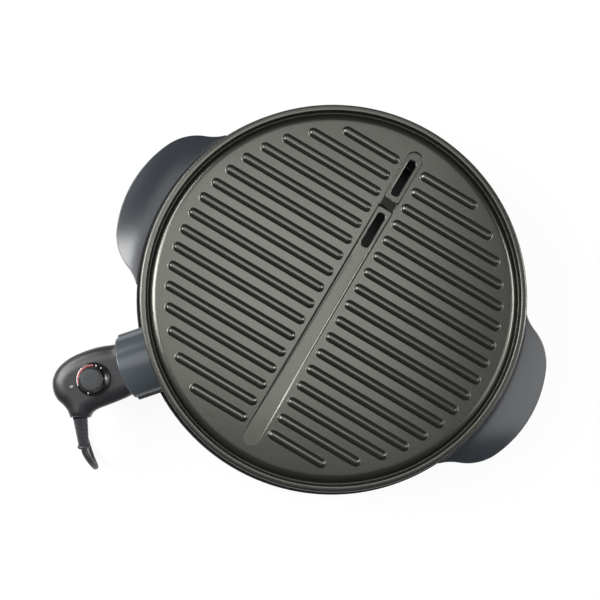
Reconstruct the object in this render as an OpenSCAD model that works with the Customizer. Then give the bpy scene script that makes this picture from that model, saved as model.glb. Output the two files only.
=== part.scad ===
// Round electric table grill: a ribbed cast plate that lifts off a bowl-shaped base with two wing
// handles, a drip tray below its drain slots, and a plug-in heat control with a dial and a cord.
// X runs along the ribs and the wings, Y along the drain channel towards the rear, Z up.

/* [Overall] */
// Height of the plate's lip above the counter
lip_z = 105; // [96:0.5:120]
// Height of the bowl's rim above the counter
rim_z = 57; // [52:0.5:62]
// Height of the bowl's underside above the counter
bowl_z = 33; // [30:0.5:36]
// Running clearance between pieces that move apart
play = 0.3; // [0.2:0.05:0.5]

/* [Grill plate] */
// Diameter over the lip
plate_d = 444.5; // [430:0.5:450]
// Width of the flat lip
lip_w = 6.2; // [4:0.1:9]
// Height of the lip above the cooking surface
lip_rise = 5; // [3:0.1:7]
// Width of the gutter inside the lip
gutter_w = 5; // [3:0.1:8]
// Depth of the gutter below the cooking surface
gutter_drop = 2.5; // [1:0.1:4]
// Width of the round shoulder between the gutter and the cooking surface
shoulder_w = 8; // [5:0.1:12]
// Thickness of the casting
plate_t = 6; // [4:0.1:9]
// How far the outer wall hangs below the lip
skirt_drop = 30; // [26:0.5:33]
// Diameter of a rib's round top
rib_w = 10; // [7:0.1:12]
// Height of a rib
rib_h = 4; // [2:0.1:4.5]
// Distance from one rib to the next
rib_pitch = 21.5; // [16:0.1:24]
// Rows of ribs on each side of the channel
rib_rows = 17; // [9:2:17]
// Distance from the middle of the plate to the ribs' inner tips
rib_start = 14.6; // [13:0.1:20]
// Bare ring between the shoulder and the ribs' outer tips
rib_margin = 10; // [6:0.1:20]

/* [Drain channel] */
// Width of the channel
channel_w = 20; // [14:0.1:24]
// Depth of the channel at its rear end
channel_depth = 8; // [5:0.1:9]
// Bare ring between the shoulder and the channel's rear end
channel_margin = 9; // [7:0.1:20]
// Width of a drain slot
slot_w = 10; // [6:0.1:12]
// Length of a drain slot
slot_l = 43.5; // [20:0.1:50]
// Distance from one slot to the next
slot_pitch = 69; // [60:0.1:75]
// Distance from the rear slot's middle to the channel's rear end
slot_back = 34.5; // [30:0.1:40]
// Length of the bridge between the slots
bridge_l = 16; // [8:0.1:18]

/* [Base] */
// Diameter of the bowl's rim
rim_d = 468; // [460:0.5:472]
// Wall of the bowl
wall = 3; // [2:0.1:4]
// Radius of the bowl's flat floor
floor_r = 120; // [100:1:140]
// Span over both wing handles
wing_span = 550; // [530:1:570]
// Radius of a wing's outer edge
wing_r = 140; // [125:1:160]
// Radius of a wing's shoulders
wing_shoulder_r = 60; // [50:1:65]
// Angle at which a wing's edge passes into its shoulder
wing_shoulder_a = 25; // [20:1:28]
// Radius of the hollow corner between wing and rim
wing_fillet_r = 40; // [25:1:50]
// Depth of a wing's edge
wing_h = 14; // [10:0.5:16]
// Half spread of the feet along X
foot_x = 130; // [110:1:140]
// Half spread of the feet along Y
foot_y = 75; // [60:1:85]
// Radius of a rubber foot
foot_r = 14; // [11:0.5:17]
// Radius of the circle of posts that carry the plate
post_ring_r = 178; // [172:1:184]
// Level of the posts' tops
post_z = 76; // [72:0.5:78]

/* [Drip tray] */
// Width of the tray inside its flanges
tray_w = 68; // [56:1:76]
// Length of the tray
tray_l = 142; // [125:1:150]
// Depth of the tray
tray_h = 21; // [14:0.5:24]
// Wall of the tray
tray_wall = 1.5; // [1:0.1:2.5]
// Width of the flange that runs in the rails
tray_flange = 5; // [4:0.1:7]

/* [Heating element] */
// Radius of the element's outer ring
element_r = 140; // [130:1:146]
// Radius of the element's inner ring
element_in_r = 75; // [65:1:85]
// Diameter of the element's tube
element_d = 8; // [6.5:0.1:9]
// Radius of the element's bends
element_bend = 14; // [12:0.5:18]
// Half distance between the terminal pins
pin_y = 12.7; // [11:0.1:15]
// Diameter of a terminal pin
pin_d = 6; // [4:0.1:7]

/* [Heat control] */
// Direction of the heat control, from +X
probe_a = 229.4; // [225:0.1:235]
// Height of the pins and of the heat control's parting line
probe_z = 66; // [64:0.5:68]
// Half thickness of the heat control's case
case_h = 14; // [12:0.5:15]
// Wall of the case
case_wall = 2.5; // [1.5:0.1:3]
// Distance from the plate's axis to the dial's axis
dial_x = 295; // [288:0.5:300]
// Diameter of the dial's skirt
dial_d = 40; // [32:0.5:44]
// Diameter of the dial's cap
dial_cap_d = 26; // [18:0.5:28]
// Height of the dial
dial_h = 11; // [8:0.5:14]
// Diameter of the dial's shaft
dial_shaft_d = 6; // [4:0.1:8]

/* [Terminal shroud] */
// Width of the shroud between its side flanges
shroud_w = 70; // [68:0.5:74]
// Width of a side flange
shroud_flange = 3; // [1:0.1:4]
// Reach of the shroud's round end from the plate's axis
shroud_reach = 262; // [256:0.5:264]
// Radius of the shroud's end, seen from above
shroud_end_r = 85; // [70:1:110]
// Level of the top of the arch
shroud_top_z = 90; // [88:0.5:91]
// Wall of the shroud
shroud_wall = 3; // [2:0.1:3.5]

/* [Cord] */
// Diameter of the cord
cord_d = 7; // [6:0.1:7.2]
// Radius of the hank's end loops
hank_r = 21.5; // [20:0.1:23]
// Length of the hank's straight runs
hank_run = 62; // [50:1:66]
// How far the runs are drawn in at the waist
hank_pinch = 7; // [0:0.5:9]
// Level between the hank's layers
hank_pitch = 7.6; // [7.5:0.05:8]

/* [Hidden] */
$fn = 96;

// Levels
plateau_z = lip_z - lip_rise;
under_z = plateau_z - plate_t;
skirt_z = lip_z - skirt_drop;
floor_in_z = bowl_z + wall;

// Radii of the plate
plate_r = plate_d / 2;
lip_in_r = plate_r - lip_w;
gutter_in_r = lip_in_r - gutter_w;
plateau_r = gutter_in_r - shoulder_w;
rib_reach = plateau_r - rib_margin;
channel_end_y = plateau_r - channel_margin;
rear_slot_y = channel_end_y - slot_back;
front_slot_y = rear_slot_y - slot_pitch;
bridge_y = rear_slot_y - slot_pitch / 2;
channel_slope = atan(channel_depth / (2 * channel_end_y));

// Base
rim_r = rim_d / 2;
rim_t = 4;
notch_w = shroud_w + 2 * shroud_flange + 4;
notch_r = 197;
foot_h = 6;
boss_r = 11;
foot_places = [for (sx = [-1, 1]) for (sy = [-1, 1]) [sx * foot_x, sy * foot_y]];
post_angles = [30, 150, 210, 330];
shield_r = 150;
shield_z = floor_in_z + 5;
shield_screw_r = 92;
shield_angles = [0, 135, 180, 315];
pad_proud = 2;

// The plate's axis lies this far behind the middle of the grill's outline
control_back = 262;
control_out = shroud_reach - control_back;
bead_end = [336, 73.5];
bead_r = 7.5;
front_reach = (bead_end.x + control_out) * -sin(probe_a) - bead_end.y * cos(probe_a) + bead_r * 0.75;
axis_y = (front_reach - rim_r) / 2;

// Tray and rails
rail_wall = 3;
rail_lip = 2;
tray_top_z = bowl_z - 1.5;
tray_rear_y = rear_slot_y + slot_l / 2 + 20;
tray_front_y = tray_rear_y - tray_l;
chute_wall = 2;
chute_y = (front_slot_y + rear_slot_y) / 2;

// Terminals, measured outwards from the plate's axis
screw_r = 1.9;
sensor_r = 3;
sensor_tip_x = 178;
pin_in_x = 196;
web_x = 211.5;
bracket_t = 1.5;
bracket_w = 66;
bracket_z = under_z - 15;
bracket_in_x = 181;
bracket_foot_z = 49;
bracket_screw = [188, 25];
block_w = 44;
block_h = 18;
block_t = 10;
shroud_in_x = 215;
shroud_foot_z = 44;
shroud_flange_z = 60;
arch_z = 75;
shroud_screw = [28, 56];
pin_hole_r = 5;

// Element: its clips, its legs' drop to the pins, and the turns between its two rings
element_z = under_z - element_d / 2 - play;
clip_angles = [150, 200, 290, 20];
clip_reach = 13;
clip_t = 1;
clip_screw_r = 1.5;
drop_r = 10;
drop_a = 75;
bend_x = sqrt((element_r + element_bend) ^ 2 - (pin_y + element_bend) ^ 2);
gap_a = atan2(pin_y + element_bend, bend_x);
slope_l = (element_z - probe_z - 2 * drop_r * (1 - cos(drop_a))) / sin(drop_a);
drop_x = bend_x + 3 + 2 * drop_r * sin(drop_a) + slope_l * cos(drop_a);
turn_r = (element_r - element_in_r) / 2;
turn_c = (element_r + element_in_r) / 2;
turn_a = asin((channel_w / 2 + 7 + turn_r + element_d / 2) / turn_c);

// Wing geometry: an outer arc, two shoulders and two hollow corners, each tangent to the next
wing_overlap = 2;
screw_level = 8.5;
handle_screw_angles = [-13, 13];
wing_sink = 0.6;
wing_c0 = [wing_span / 2 - wing_r, 0];
wing_c1 = wing_c0 + (wing_r - wing_shoulder_r) * [cos(wing_shoulder_a), sin(wing_shoulder_a)];
wing_c2_d = rim_r - wing_overlap + wing_fillet_r;
wing_c2_a = atan2(wing_c1.y, wing_c1.x) + acos((norm(wing_c1) ^ 2 + wing_c2_d ^ 2
    - (wing_shoulder_r + wing_fillet_r) ^ 2) / (2 * norm(wing_c1) * wing_c2_d));
wing_c2 = wing_c2_d * [cos(wing_c2_a), sin(wing_c2_a)];
wing_turn = atan2(wing_c2.y - wing_c1.y, wing_c2.x - wing_c1.x);

// The heat control follows the shroud's end. Its own sizes are measured outwards from a point that
// lies control_back inside that end, and pin_end_x is where the pins end, seen from the plate's axis
nose_x = 240;
sleeve_r = 4.5;
stem_r = 4.5;
pin_end_x = nose_x + 17 + control_out;
sensor_end_x = nose_x + 28 + control_out;
case_screw_places = [[272, 22], [272, -23], [322, -17]];
case_screw_r = 1.5;
lens_x = 321.5;
lens_l = 4;
lens_w = 2.4;
frame_x = 269;
frame_l = 42;
frame_w = 22;
blade_x = 272;
collar_x = 0.6;

// Outline of the heat control seen from above
case_left = [[262, -31.6], [280, -34.8], [300, -35], [317, -32.5], [332, -26], [342, -15],
    [345.5, -3], [344.5, 8], [340, 17], [337, 25]];
neck_end = [[336.5, 34], [317, 40]];
case_right = [[311.5, 35.5], [303, 33], [288, 32.8], [270, 32.2], [258, 31]];
neck_mid = (neck_end[0] + neck_end[1]) / 2;
neck_dir = (bead_end - neck_mid) / norm(bead_end - neck_mid);
neck_start = [316, 24];
droop = 12;
relief_l = norm(bead_end - neck_mid);

// Where the cord's free stretches run, from the bead at the strain relief's end
hank_x = 258;
hank_z = 5;
hank_loops = 2.5;
hank_steps = 24;
lead_points = [[336, 73.5, 58.6], [336.8, 78, 57.6], [336.5, 84, 55.5], [335.8, 91, 51], [335.6, 97, 44],
    [336.5, 100.5, 35.5], [338.5, 100.5, 26.5], [341, 96.5, 18.5], [343.2, 90, 12], [344.6, 81.5, 7.6],
    [345, 72, 5.4], [345, 62, 5], [345, 52, 5], [343, 40.5, 5], [336.4, 30.4, 5], [326.5, 23.7, 5],
    [315, 21.5, 5], [302, 21.5, 5], [289, 21.5, 5]];
tail_points = [[227.4, -21.5, 20.2], [234, -21.5, 20.2], [241, -20.6, 21.4], [248, -18.2, 24.4],
    [255, -15, 28.4], [262, -12.8, 31.6], [269, -12, 33.4], [276, -12, 33.6]];
plug_x = 276;
plug_y = -12;
plug_z = 33.6;
plug_h = 15;
plug_w = 24;

function arc(c, r, a0, a1, n) = [for (i = [0:n]) let (a = a0 + (a1 - a0) * i / n) c + r * [cos(a), sin(a)]];
function rev(v) = [for (i = [len(v) - 1:-1:0]) v[i]];
function unit(v) = v / norm(v);

// A smooth curve through the points, with n steps between each two
function spline(p, n) = let (m = len(p) - 1) concat([for (i = [0:m - 1], k = [0:n - 1])
    let (t = k / n, a = i == 0 ? 2 * p[0] - p[1] : p[i - 1], b = p[i], c = p[i + 1],
        d = i == m - 1 ? 2 * p[m] - p[m - 1] : p[i + 2])
    0.5 * (2 * b + (c - a) * t + (2 * a - 5 * b + 4 * c - d) * t ^ 2 + (3 * b - a - 3 * c + d) * t ^ 3)],
    [p[m]]);

// The case's outline moved inwards by d, and by less along its narrow neck
function inset(p, d) = let (n = len(p)) [for (i = [0:n - 1])
    let (e = unit(p[i] - p[(i + n - 1) % n]), f = unit(p[(i + 1) % n] - p[i]),
        m = unit([-e.y - f.y, e.x + f.x]), c = max(0.6, m * [-e.y, e.x]),
        near = min(1, max(0, (p[i] - neck_start) * neck_dir / 10)))
    p[i] + m * d * (1 - 0.45 * near) / c];

// A solid through rings of points that lie above each other, lowest first; both ends fan out from mid
module loft(rings, levels, mid) {
    n = len(rings[0]);
    last = len(rings) - 1;
    points = concat([for (j = [0:last]) for (p = rings[j]) [p.x, p.y, levels[j]]],
        [for (j = [0, last]) [mid.x, mid.y, levels[j]]]);
    ends = [for (i = [0:n - 1]) let (k = (i + 1) % n, m = (last + 1) * n)
        each [[i, k, m], [last * n + k, last * n + i, m + 1]]];
    sides = [for (j = [0:last - 1], i = [0:n - 1]) let (k = (i + 1) % n)
        each [[j * n + i, (j + 1) * n + i, (j + 1) * n + k], [j * n + i, (j + 1) * n + k, j * n + k]]];
    polyhedron(points, concat(sides, ends));
}

// The directions across a path, carried along it without twist
function across(p, t, start) = [for (i = 0, v = start; i < len(p);
    i = i + 1, v = i < len(p) ? unit(v - (v * t[i]) * t[i]) : v) v];

// A round tube along a path, with square ends
module tube(p, d, sides) {
    last = len(p) - 1;
    t = [for (i = [0:last]) unit(p[min(i + 1, last)] - p[max(i - 1, 0)])];
    seed = abs(t[0].z) > 0.9 ? [1, 0, 0] : [0, 0, 1];
    v = across(p, t, unit(seed - (seed * t[0]) * t[0]));
    points = [for (i = [0:last], k = [0:sides - 1]) let (a = 360 * k / sides)
        p[i] + d / 2 * (cos(a) * v[i] + sin(a) * cross(t[i], v[i]))];
    walls = [for (i = [0:last - 1], k = [0:sides - 1]) let (m = (k + 1) % sides)
        each [[i * sides + k, (i + 1) * sides + k, (i + 1) * sides + m],
            [i * sides + k, (i + 1) * sides + m, i * sides + m]]];
    polyhedron(points, concat([[for (k = [0:sides - 1]) k]], walls,
        [[for (k = [sides - 1:-1:0]) last * sides + k]]));
}

module on_axis() {
    translate([0, axis_y, 0]) children();
}

module at_probe() {
    rotate([0, 0, probe_a]) children();
}

module at_control() {
    at_probe() translate([control_out, 0, 0]) children();
}

// A screw with a round head, standing on its head at z = 0 with the shank upwards
module screw(r, l, head_r, head_h) {
    cylinder(r = head_r, h = head_h);
    cylinder(r = r, h = head_h + l);
}

// A bar laid along X
module rod_x(r, x0, x1) {
    translate([x0, 0, 0]) rotate([0, 90, 0]) cylinder(r = r, h = x1 - x0);
}

module rounded_rect(w, l, r, h) {
    linear_extrude(h) polygon(concat(arc([w / 2 - r, l / 2 - r], r, 0, 90, 6),
        arc([r - w / 2, l / 2 - r], r, 90, 180, 6), arc([r - w / 2, r - l / 2], r, 180, 270, 6),
        arc([w / 2 - r, r - l / 2], r, 270, 360, 6)));
}

// The bowl's wall as a quarter ellipse from the floor's edge to the rim, moved in by d
function bowl_curve(d) = [for (a = [0:10:90]) [floor_r + (rim_r - floor_r - d) * sin(a),
    bowl_z + d + (rim_z - rim_t - bowl_z) * (1 - cos(a))]];

module bowl() {
    rotate_extrude() polygon(concat([[0, bowl_z]], bowl_curve(0), arc([rim_r - 1, rim_z - 1], 1, 0, 90, 3),
        arc([rim_r - wall + 1, rim_z - 1], 1, 90, 180, 3), rev(bowl_curve(wall)), [[0, floor_in_z]]));
}

// All the room below the middle of the bowl's wall
module below_bowl() {
    rotate_extrude() polygon(concat([[0, 0]], [[rim_r - wall / 2, 0]], rev(bowl_curve(wall / 2)),
        [[0, bowl_z + wall / 2]]));
}

function wing_half(d) = concat(arc(wing_c0, wing_r - d, 0, wing_shoulder_a, 5),
    arc(wing_c1, wing_shoulder_r - d, wing_shoulder_a + 5, wing_turn, 8),
    arc(wing_c2, wing_fillet_r + d, wing_turn + 174, wing_c2_a + 180, 7),
    [(rim_r - 14) * [cos(wing_c2_a), sin(wing_c2_a)]]);

function wing_ring(d) = let (h = wing_half(d)) concat([for (i = [len(h) - 1:-1:1]) [h[i].x, -h[i].y]], h);

// One handle, hollow from below, that hugs the rim and is held by two screws from inside the bowl
module handle() {
    edge = [[0, 0], [0, wing_h - 5], [0.7, wing_h - 2.6], [2.2, wing_h - 0.8], [4.6, wing_h]];
    hollow = [[wall, -1], [wall, wing_h - 6], [wall + 1.5, wing_h - 4]];
    translate([0, 0, rim_z - wing_sink - wing_h]) difference() {
        loft([for (e = edge) wing_ring(e[0])], [for (e = edge) e[1]], [200, 0]);
        translate([0, 0, -1]) cylinder(r = rim_r + play, h = wing_h + 2);
        difference() {
            loft([for (e = hollow) wing_ring(e[0])], [for (e = hollow) e[1]], [200, 0]);
            translate([0, 0, -2]) cylinder(r = rim_r + play + wall, h = wing_h + 4);
            for (a = handle_screw_angles) rotate(a) translate([0, 0, screw_level]) rod_x(4.5, rim_r, rim_r + 14);
        }
        for (a = handle_screw_angles) rotate(a) translate([0, 0, screw_level])
            rod_x(screw_r + 0.1, rim_r - 5, rim_r + 12);
    }
}

module left_handle() {
    color("#23262b") mirror([1, 0, 0]) handle();
}

module right_handle() {
    color("#23262b") handle();
}

module handle_screws() {
    color("#8d9094") for (m = [0, 1]) mirror([m, 0, 0]) for (a = handle_screw_angles) rotate(a)
        translate([rim_r - wall - 7, 0, rim_z - wing_sink - wing_h + screw_level]) rotate([0, 90, 0])
            screw(screw_r, 16, 3.2, 1.8);
}

module rails() {
    inner = tray_w / 2 + tray_flange + play;
    for (s = [-1, 1]) {
        translate([s > 0 ? inner : -inner - rail_wall, tray_front_y - 4, tray_top_z - tray_wall - play - rail_lip])
            cube([rail_wall, tray_l - 8, 40]);
        translate([s > 0 ? inner - tray_flange + 1 : -inner - rail_wall, tray_front_y - 4,
            tray_top_z - tray_wall - play - rail_lip])
            cube([rail_wall + tray_flange - 1, tray_l - 8, rail_lip]);
    }
    translate([-inner, tray_front_y - 4, tray_top_z - tray_wall - play - rail_lip])
        cube([2 * inner, 3, 40]);
}

function chute_size() = [tray_w - 14, slot_pitch + slot_l + 8];

module chute(grow) {
    translate([0, chute_y, tray_top_z + play])
        rounded_rect(chute_size().x + 2 * grow, chute_size().y + 2 * grow, 6 + grow, 40);
}

module base_shell() {
    color("#1c1e21") difference() {
        union() {
            bowl();
            intersection() {
                union() {
                    rails();
                    chute(chute_wall);
                    for (p = foot_places) translate([p.x, p.y, foot_h]) cylinder(r = boss_r, h = 60);
                }
                below_bowl();
            }
            for (a = post_angles) rotate(a) translate([post_ring_r, 0, floor_in_z]) post();
            for (a = shield_angles) rotate(a) translate([shield_screw_r, 0, bowl_z + wall / 2])
                cylinder(r = 6, h = shield_z - play - bowl_z - wall / 2);
        }
        chute(0);
        for (p = foot_places) translate([p.x, p.y, 0]) cylinder(r = screw_r + 0.1, h = foot_h + 14);
        for (a = shield_angles) rotate(a) translate([shield_screw_r, 0, bowl_z + wall + 0.5])
            cylinder(r = screw_r + 0.1, h = 20);
        for (m = [0, 1]) mirror([m, 0, 0]) for (a = handle_screw_angles) rotate(a)
            translate([0, 0, rim_z - wing_sink - wing_h + screw_level]) {
                rod_x(screw_r + 0.3, rim_r - 12, rim_r + 5);
                rod_x(3.5, rim_r - 20, rim_r - wall - 5.1);
            }
        at_probe() translate([notch_r, -notch_w / 2, 0]) cube([60, notch_w, lip_z]);
    }
}

// A post that carries the plate, hollow at its top for the rest pad
module post() {
    top = post_z - floor_in_z;
    difference() {
        translate([0, 0, -1]) cylinder(r1 = 12, r2 = 9, h = top + 1);
        translate([0, 0, top - 3]) cylinder(r = 6.5, h = 4);
    }
}

module rest_pads() {
    color("#3a3632") for (a = post_angles) rotate(a)
        translate([post_ring_r, 0, post_z - 3 + 0.1]) cylinder(r = 6.2, h = 3 + pad_proud);
}

module rubber_feet() {
    color("#2a2a2a") for (p = foot_places) translate([p.x, p.y, 0]) difference() {
        rotate_extrude() polygon([[0, 0], [foot_r - 1.5, 0], [foot_r, 1.5], [foot_r, foot_h - 1],
            [foot_r - 1, foot_h], [0, foot_h]]);
        translate([0, 0, -1]) cylinder(r = 5, h = 3.5);
        translate([0, 0, -1]) cylinder(r = screw_r + 0.3, h = foot_h + 2);
    }
}

module foot_screws() {
    color("#8d9094") for (p = foot_places) translate([p.x, p.y, 0.5]) screw(screw_r, 14, 4.4, 1.9);
}

module heat_shield() {
    t = 0.8;
    color("#b9bcc0") difference() {
        translate([0, 0, shield_z]) rotate_extrude() polygon([[0, 0], [shield_r - 16, 0], [shield_r - 8, 3],
            [shield_r, 13], [shield_r + 5, 15], [shield_r + 5, 15 + t], [shield_r - 0.6, 13 + t],
            [shield_r - 8.6, 3 + t], [shield_r - 16, t], [0, t]]);
        chute(chute_wall + 1.5);
        for (a = shield_angles) rotate(a) translate([shield_screw_r, 0, 0]) cylinder(r = screw_r + 0.3, h = 100);
    }
}

module shield_screws() {
    color("#8d9094") for (a = shield_angles) rotate(a) translate([shield_screw_r, 0, shield_z + 0.8 + 0.1 + 1.6])
        mirror([0, 0, 1]) screw(screw_r, 5, 3.6, 1.6);
}

module drip_tray() {
    z0 = tray_top_z - tray_h;
    mid_y = (tray_front_y + tray_rear_y) / 2;
    color("#2b2e33") translate([0, mid_y, 0]) {
        difference() {
            union() {
                translate([0, 0, z0]) rounded_rect(tray_w, tray_l, 8, tray_h);
                translate([0, 0, tray_top_z - tray_wall])
                    rounded_rect(tray_w + 2 * tray_flange, tray_l, 3, tray_wall);
            }
            translate([0, 0, z0 + tray_wall])
                rounded_rect(tray_w - 2 * tray_wall, tray_l - 2 * tray_wall, 8 - tray_wall, tray_h);
        }
        translate([0, tray_l / 2 - 1, z0 + tray_h / 2]) rotate([0, 90, 0]) translate([0, 0, -22])
            linear_extrude(44) polygon(concat([[-3, 0], [-3, 10]], arc([0, 10], 3, 180, 0, 8), [[3, 0], [1, 0],
            [1, 9], [-1, 9], [-1, 0]]));
    }
}

// Cross-section of the casting, from its axis outwards
function plate_profile() = concat([[0, under_z], [lip_in_r - 16, under_z], [lip_in_r - 12, skirt_z + 1]],
    [[lip_in_r - 10.5, skirt_z], [lip_in_r - 6, skirt_z]],
    [[plate_r - 3.6, lip_z - 6.4]], arc([plate_r - 2.6, lip_z - 2.6], 2.6, -50, 90, 8),
    arc([lip_in_r + 0.8, lip_z - 0.8], 0.8, 90, 170, 3),
    arc([lip_in_r - 2, plateau_z - gutter_drop + 2], 2, -15, -90, 4),
    arc([gutter_in_r + 1, plateau_z - gutter_drop + 1], 1, 270, 225, 2),
    arc([plateau_r, plateau_z - 12], 12, 42, 90, 8), [[0, plateau_z]]);

// A rib between the middles of its round ends, rising out of the casting in a few steps of arc
module rib(x0, x1) {
    r = rib_w / 2;
    rises = [-0.6, 0.32 * rib_h, 0.68 * rib_h, 0.92 * rib_h, rib_h];
    function half(h) = h == rib_h ? 0.22 * r : sqrt(max(0.01, r ^ 2 - (h - rib_h + r) ^ 2));
    translate([0, 0, plateau_z]) loft([for (h = rises) concat(arc([x1, 0], half(h), -90, 90, 6),
        arc([x0, 0], half(h), 90, 270, 6))], rises, [(x0 + x1) / 2, 0]);
}

module ribs() {
    for (i = [0:rib_rows - 1]) {
        y = (i - (rib_rows - 1) / 2) * rib_pitch;
        end = sqrt(rib_reach ^ 2 - y ^ 2) - rib_w / 2;
        for (m = [0, 1]) mirror([m, 0, 0]) translate([0, y, 0]) rib(rib_start + rib_w / 2, end);
    }
}

// Seen from above: a strip with round ends
module strip(w, y0, y1, h) {
    linear_extrude(h) polygon(concat(arc([0, y1 - w / 2], w / 2, 0, 180, 12),
        arc([0, y0 + w / 2], w / 2, 180, 360, 12)));
}

module plate_solid() {
    rotate_extrude() polygon(plate_profile());
    ribs();
    for (a = post_angles) rotate(a) translate([post_ring_r, 0, post_z + pad_proud + play])
        cylinder(r = 8.5, h = under_z - post_z - pad_proud - play + 1);
    for (y = [-1, 1]) at_probe() translate([bracket_screw.x, y * bracket_screw.y, bracket_z + bracket_t + 0.1])
        cylinder(r = 6, h = under_z - bracket_z - bracket_t + 1);
    for (a = clip_angles, s = [-1, 1]) rotate(a) translate([element_r + s * clip_reach, 0, element_z + clip_t + 0.3])
        cylinder(r = 4.5, h = under_z - element_z);
    at_probe() translate([sensor_tip_x - 6, -7, probe_z - 7]) cube([28, 14, under_z - probe_z + 8]);
    keel();
}

// The ridge that carries the channel on the underside
module keel() {
    strip_z = under_z - channel_depth + 1;
    intersection() {
        translate([0, 0, strip_z]) strip(channel_w + 10, 0, channel_end_y + 5, channel_depth);
        translate([0, 0, plateau_z - plate_t]) rotate([-channel_slope, 0, 0])
            translate([-50, -300, -channel_depth / 2 + 0.5]) cube([100, 600, 50]);
    }
}

module grill_plate() {
    color("#55544d") difference() {
        plate_solid();
        difference() {
            translate([0, 0, plateau_z - channel_depth / 2]) rotate([-channel_slope, 0, 0])
                strip(channel_w, -channel_end_y, channel_end_y, 30);
            translate([0, bridge_y, plateau_z - 0.6]) rotate([0, 90, 0]) translate([0, 0, -channel_w])
                linear_extrude(2 * channel_w) polygon([[0, -bridge_l / 2 + 3], [0.6, -bridge_l / 2 + 1.5],
                [12, -bridge_l / 2 - 1], [12, bridge_l / 2 + 1], [0.6, bridge_l / 2 - 1.5], [0, bridge_l / 2 - 3]]);
        }
        for (y = [front_slot_y, rear_slot_y]) translate([0, y, 0]) rounded_rect(slot_w, slot_l, 4, lip_z);
        at_probe() translate([200, -notch_w / 2, skirt_z - 1]) cube([40, notch_w, shroud_top_z + 1.5 - skirt_z]);
        at_probe() translate([0, 0, probe_z]) rod_x(sensor_r + 0.15, sensor_tip_x - 1, 230);
        at_probe() for (y = [-1, 1]) translate([bracket_screw.x, y * bracket_screw.y, 0])
            cylinder(r = screw_r + 0.1, h = bracket_z + 12);
        for (a = clip_angles, s = [-1, 1]) rotate(a) translate([element_r + s * clip_reach, 0, 0])
            cylinder(r = clip_screw_r + 0.1, h = element_z + 7);
    }
}

// A leg of the element from its pin to the outer ring, in the heat control's direction, on side m
function element_leg(m) = [for (p = concat([[pin_in_x, pin_y, probe_z]],
    [for (q = arc([drop_x, probe_z + drop_r], drop_r, -90, -90 - drop_a, 4)) [q.x, pin_y, q.y]],
    [for (q = arc([bend_x + 3, element_z - drop_r], drop_r, 90 - drop_a, 90, 4)) [q.x, pin_y, q.y]],
    [for (q = arc([bend_x, pin_y + element_bend], element_bend, -90, -180 + gap_a, 5)) [q.x, q.y, element_z]]))
    [p.x * cos(probe_a) - m * p.y * sin(probe_a), p.x * sin(probe_a) + m * p.y * cos(probe_a), p.z]];

// The element: an outer ring that turns back beside the drain channel into an inner ring
function flat(p) = [for (q = p) [q.x, q.y, element_z]];
element_path = concat(element_leg(-1),
    flat(arc([0, 0], element_r, probe_a - gap_a - 6, 90 + turn_a + 6, 20)),
    flat(arc(turn_c * [cos(90 + turn_a), sin(90 + turn_a)], turn_r, 90 + turn_a, turn_a - 90, 8)),
    flat(arc([0, 0], element_in_r, 90 + turn_a + 10, 450 - turn_a - 10, 26)),
    flat(arc(turn_c * [cos(90 - turn_a), sin(90 - turn_a)], turn_r, 270 - turn_a, 90 - turn_a, 8)),
    flat(arc([0, 0], element_r, 90 - turn_a - 6, probe_a + gap_a + 6 - 360, 40)),
    rev(element_leg(1)));

module heating_element() {
    color("#4b4a48") tube(element_path, element_d, 10);
}

// Straps that hold the element against the plate
module element_clips() {
    r = element_d / 2 + 0.2;
    w = 12;
    color("#9a9c9e") for (a = clip_angles) rotate(a) translate([element_r, 0, element_z]) difference() {
        translate([0, w / 2, 0]) rotate([90, 0, 0]) linear_extrude(w) difference() {
            union() {
                circle(r = r + clip_t);
                translate([-clip_reach - 4, 0]) square([2 * clip_reach + 8, clip_t + 0.2]);
            }
            circle(r = r);
            translate([-r, 0]) square([2 * r, 20]);
            translate([-30, clip_t + 0.2]) square([60, 20]);
        }
        for (s = [-1, 1]) translate([s * clip_reach, 0, -1]) cylinder(r = clip_screw_r + 0.15, h = clip_t + 3);
    }
}

module clip_screws() {
    color("#8d9094") for (a = clip_angles, s = [-1, 1]) rotate(a)
        translate([element_r + s * clip_reach, 0, element_z - 1.6]) screw(clip_screw_r, 6, 3, 1.5);
}

// A sheet bracket: two tabs on the plate's bosses, with the element's legs and the rod between them
leg_side = pin_y + element_d / 2 + 1;
module terminal_bracket() {
    color("#a3a5a8") at_probe() difference() {
        union() {
            translate([bracket_in_x, -bracket_w / 2, bracket_z])
                cube([web_x - bracket_in_x + bracket_t, bracket_w, bracket_t]);
            translate([web_x, -bracket_w / 2, bracket_foot_z])
                cube([bracket_t, bracket_w, bracket_z - bracket_foot_z + bracket_t]);
        }
        translate([bracket_in_x - 10, -leg_side, bracket_z - 1]) cube([web_x - bracket_in_x, 2 * leg_side, 5]);
        for (y = [-1, 1]) {
            translate([bracket_screw.x, y * bracket_screw.y, 0]) cylinder(r = screw_r + 0.3, h = lip_z);
            translate([0, y * pin_y, probe_z]) rod_x(pin_hole_r, web_x - 5, web_x + 5);
            translate([0, y * shroud_screw.x, shroud_screw.y]) rod_x(screw_r + 0.3, web_x - 5, web_x + 5);
        }
        translate([0, 0, probe_z]) rod_x(sensor_r + 1.5, web_x - 5, web_x + 5);
    }
}

module bracket_screws() {
    color("#8d9094") at_probe() for (y = [-1, 1])
        translate([bracket_screw.x, y * bracket_screw.y, bracket_z - 2]) screw(screw_r, 8, 3.8, 1.9);
}

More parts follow.
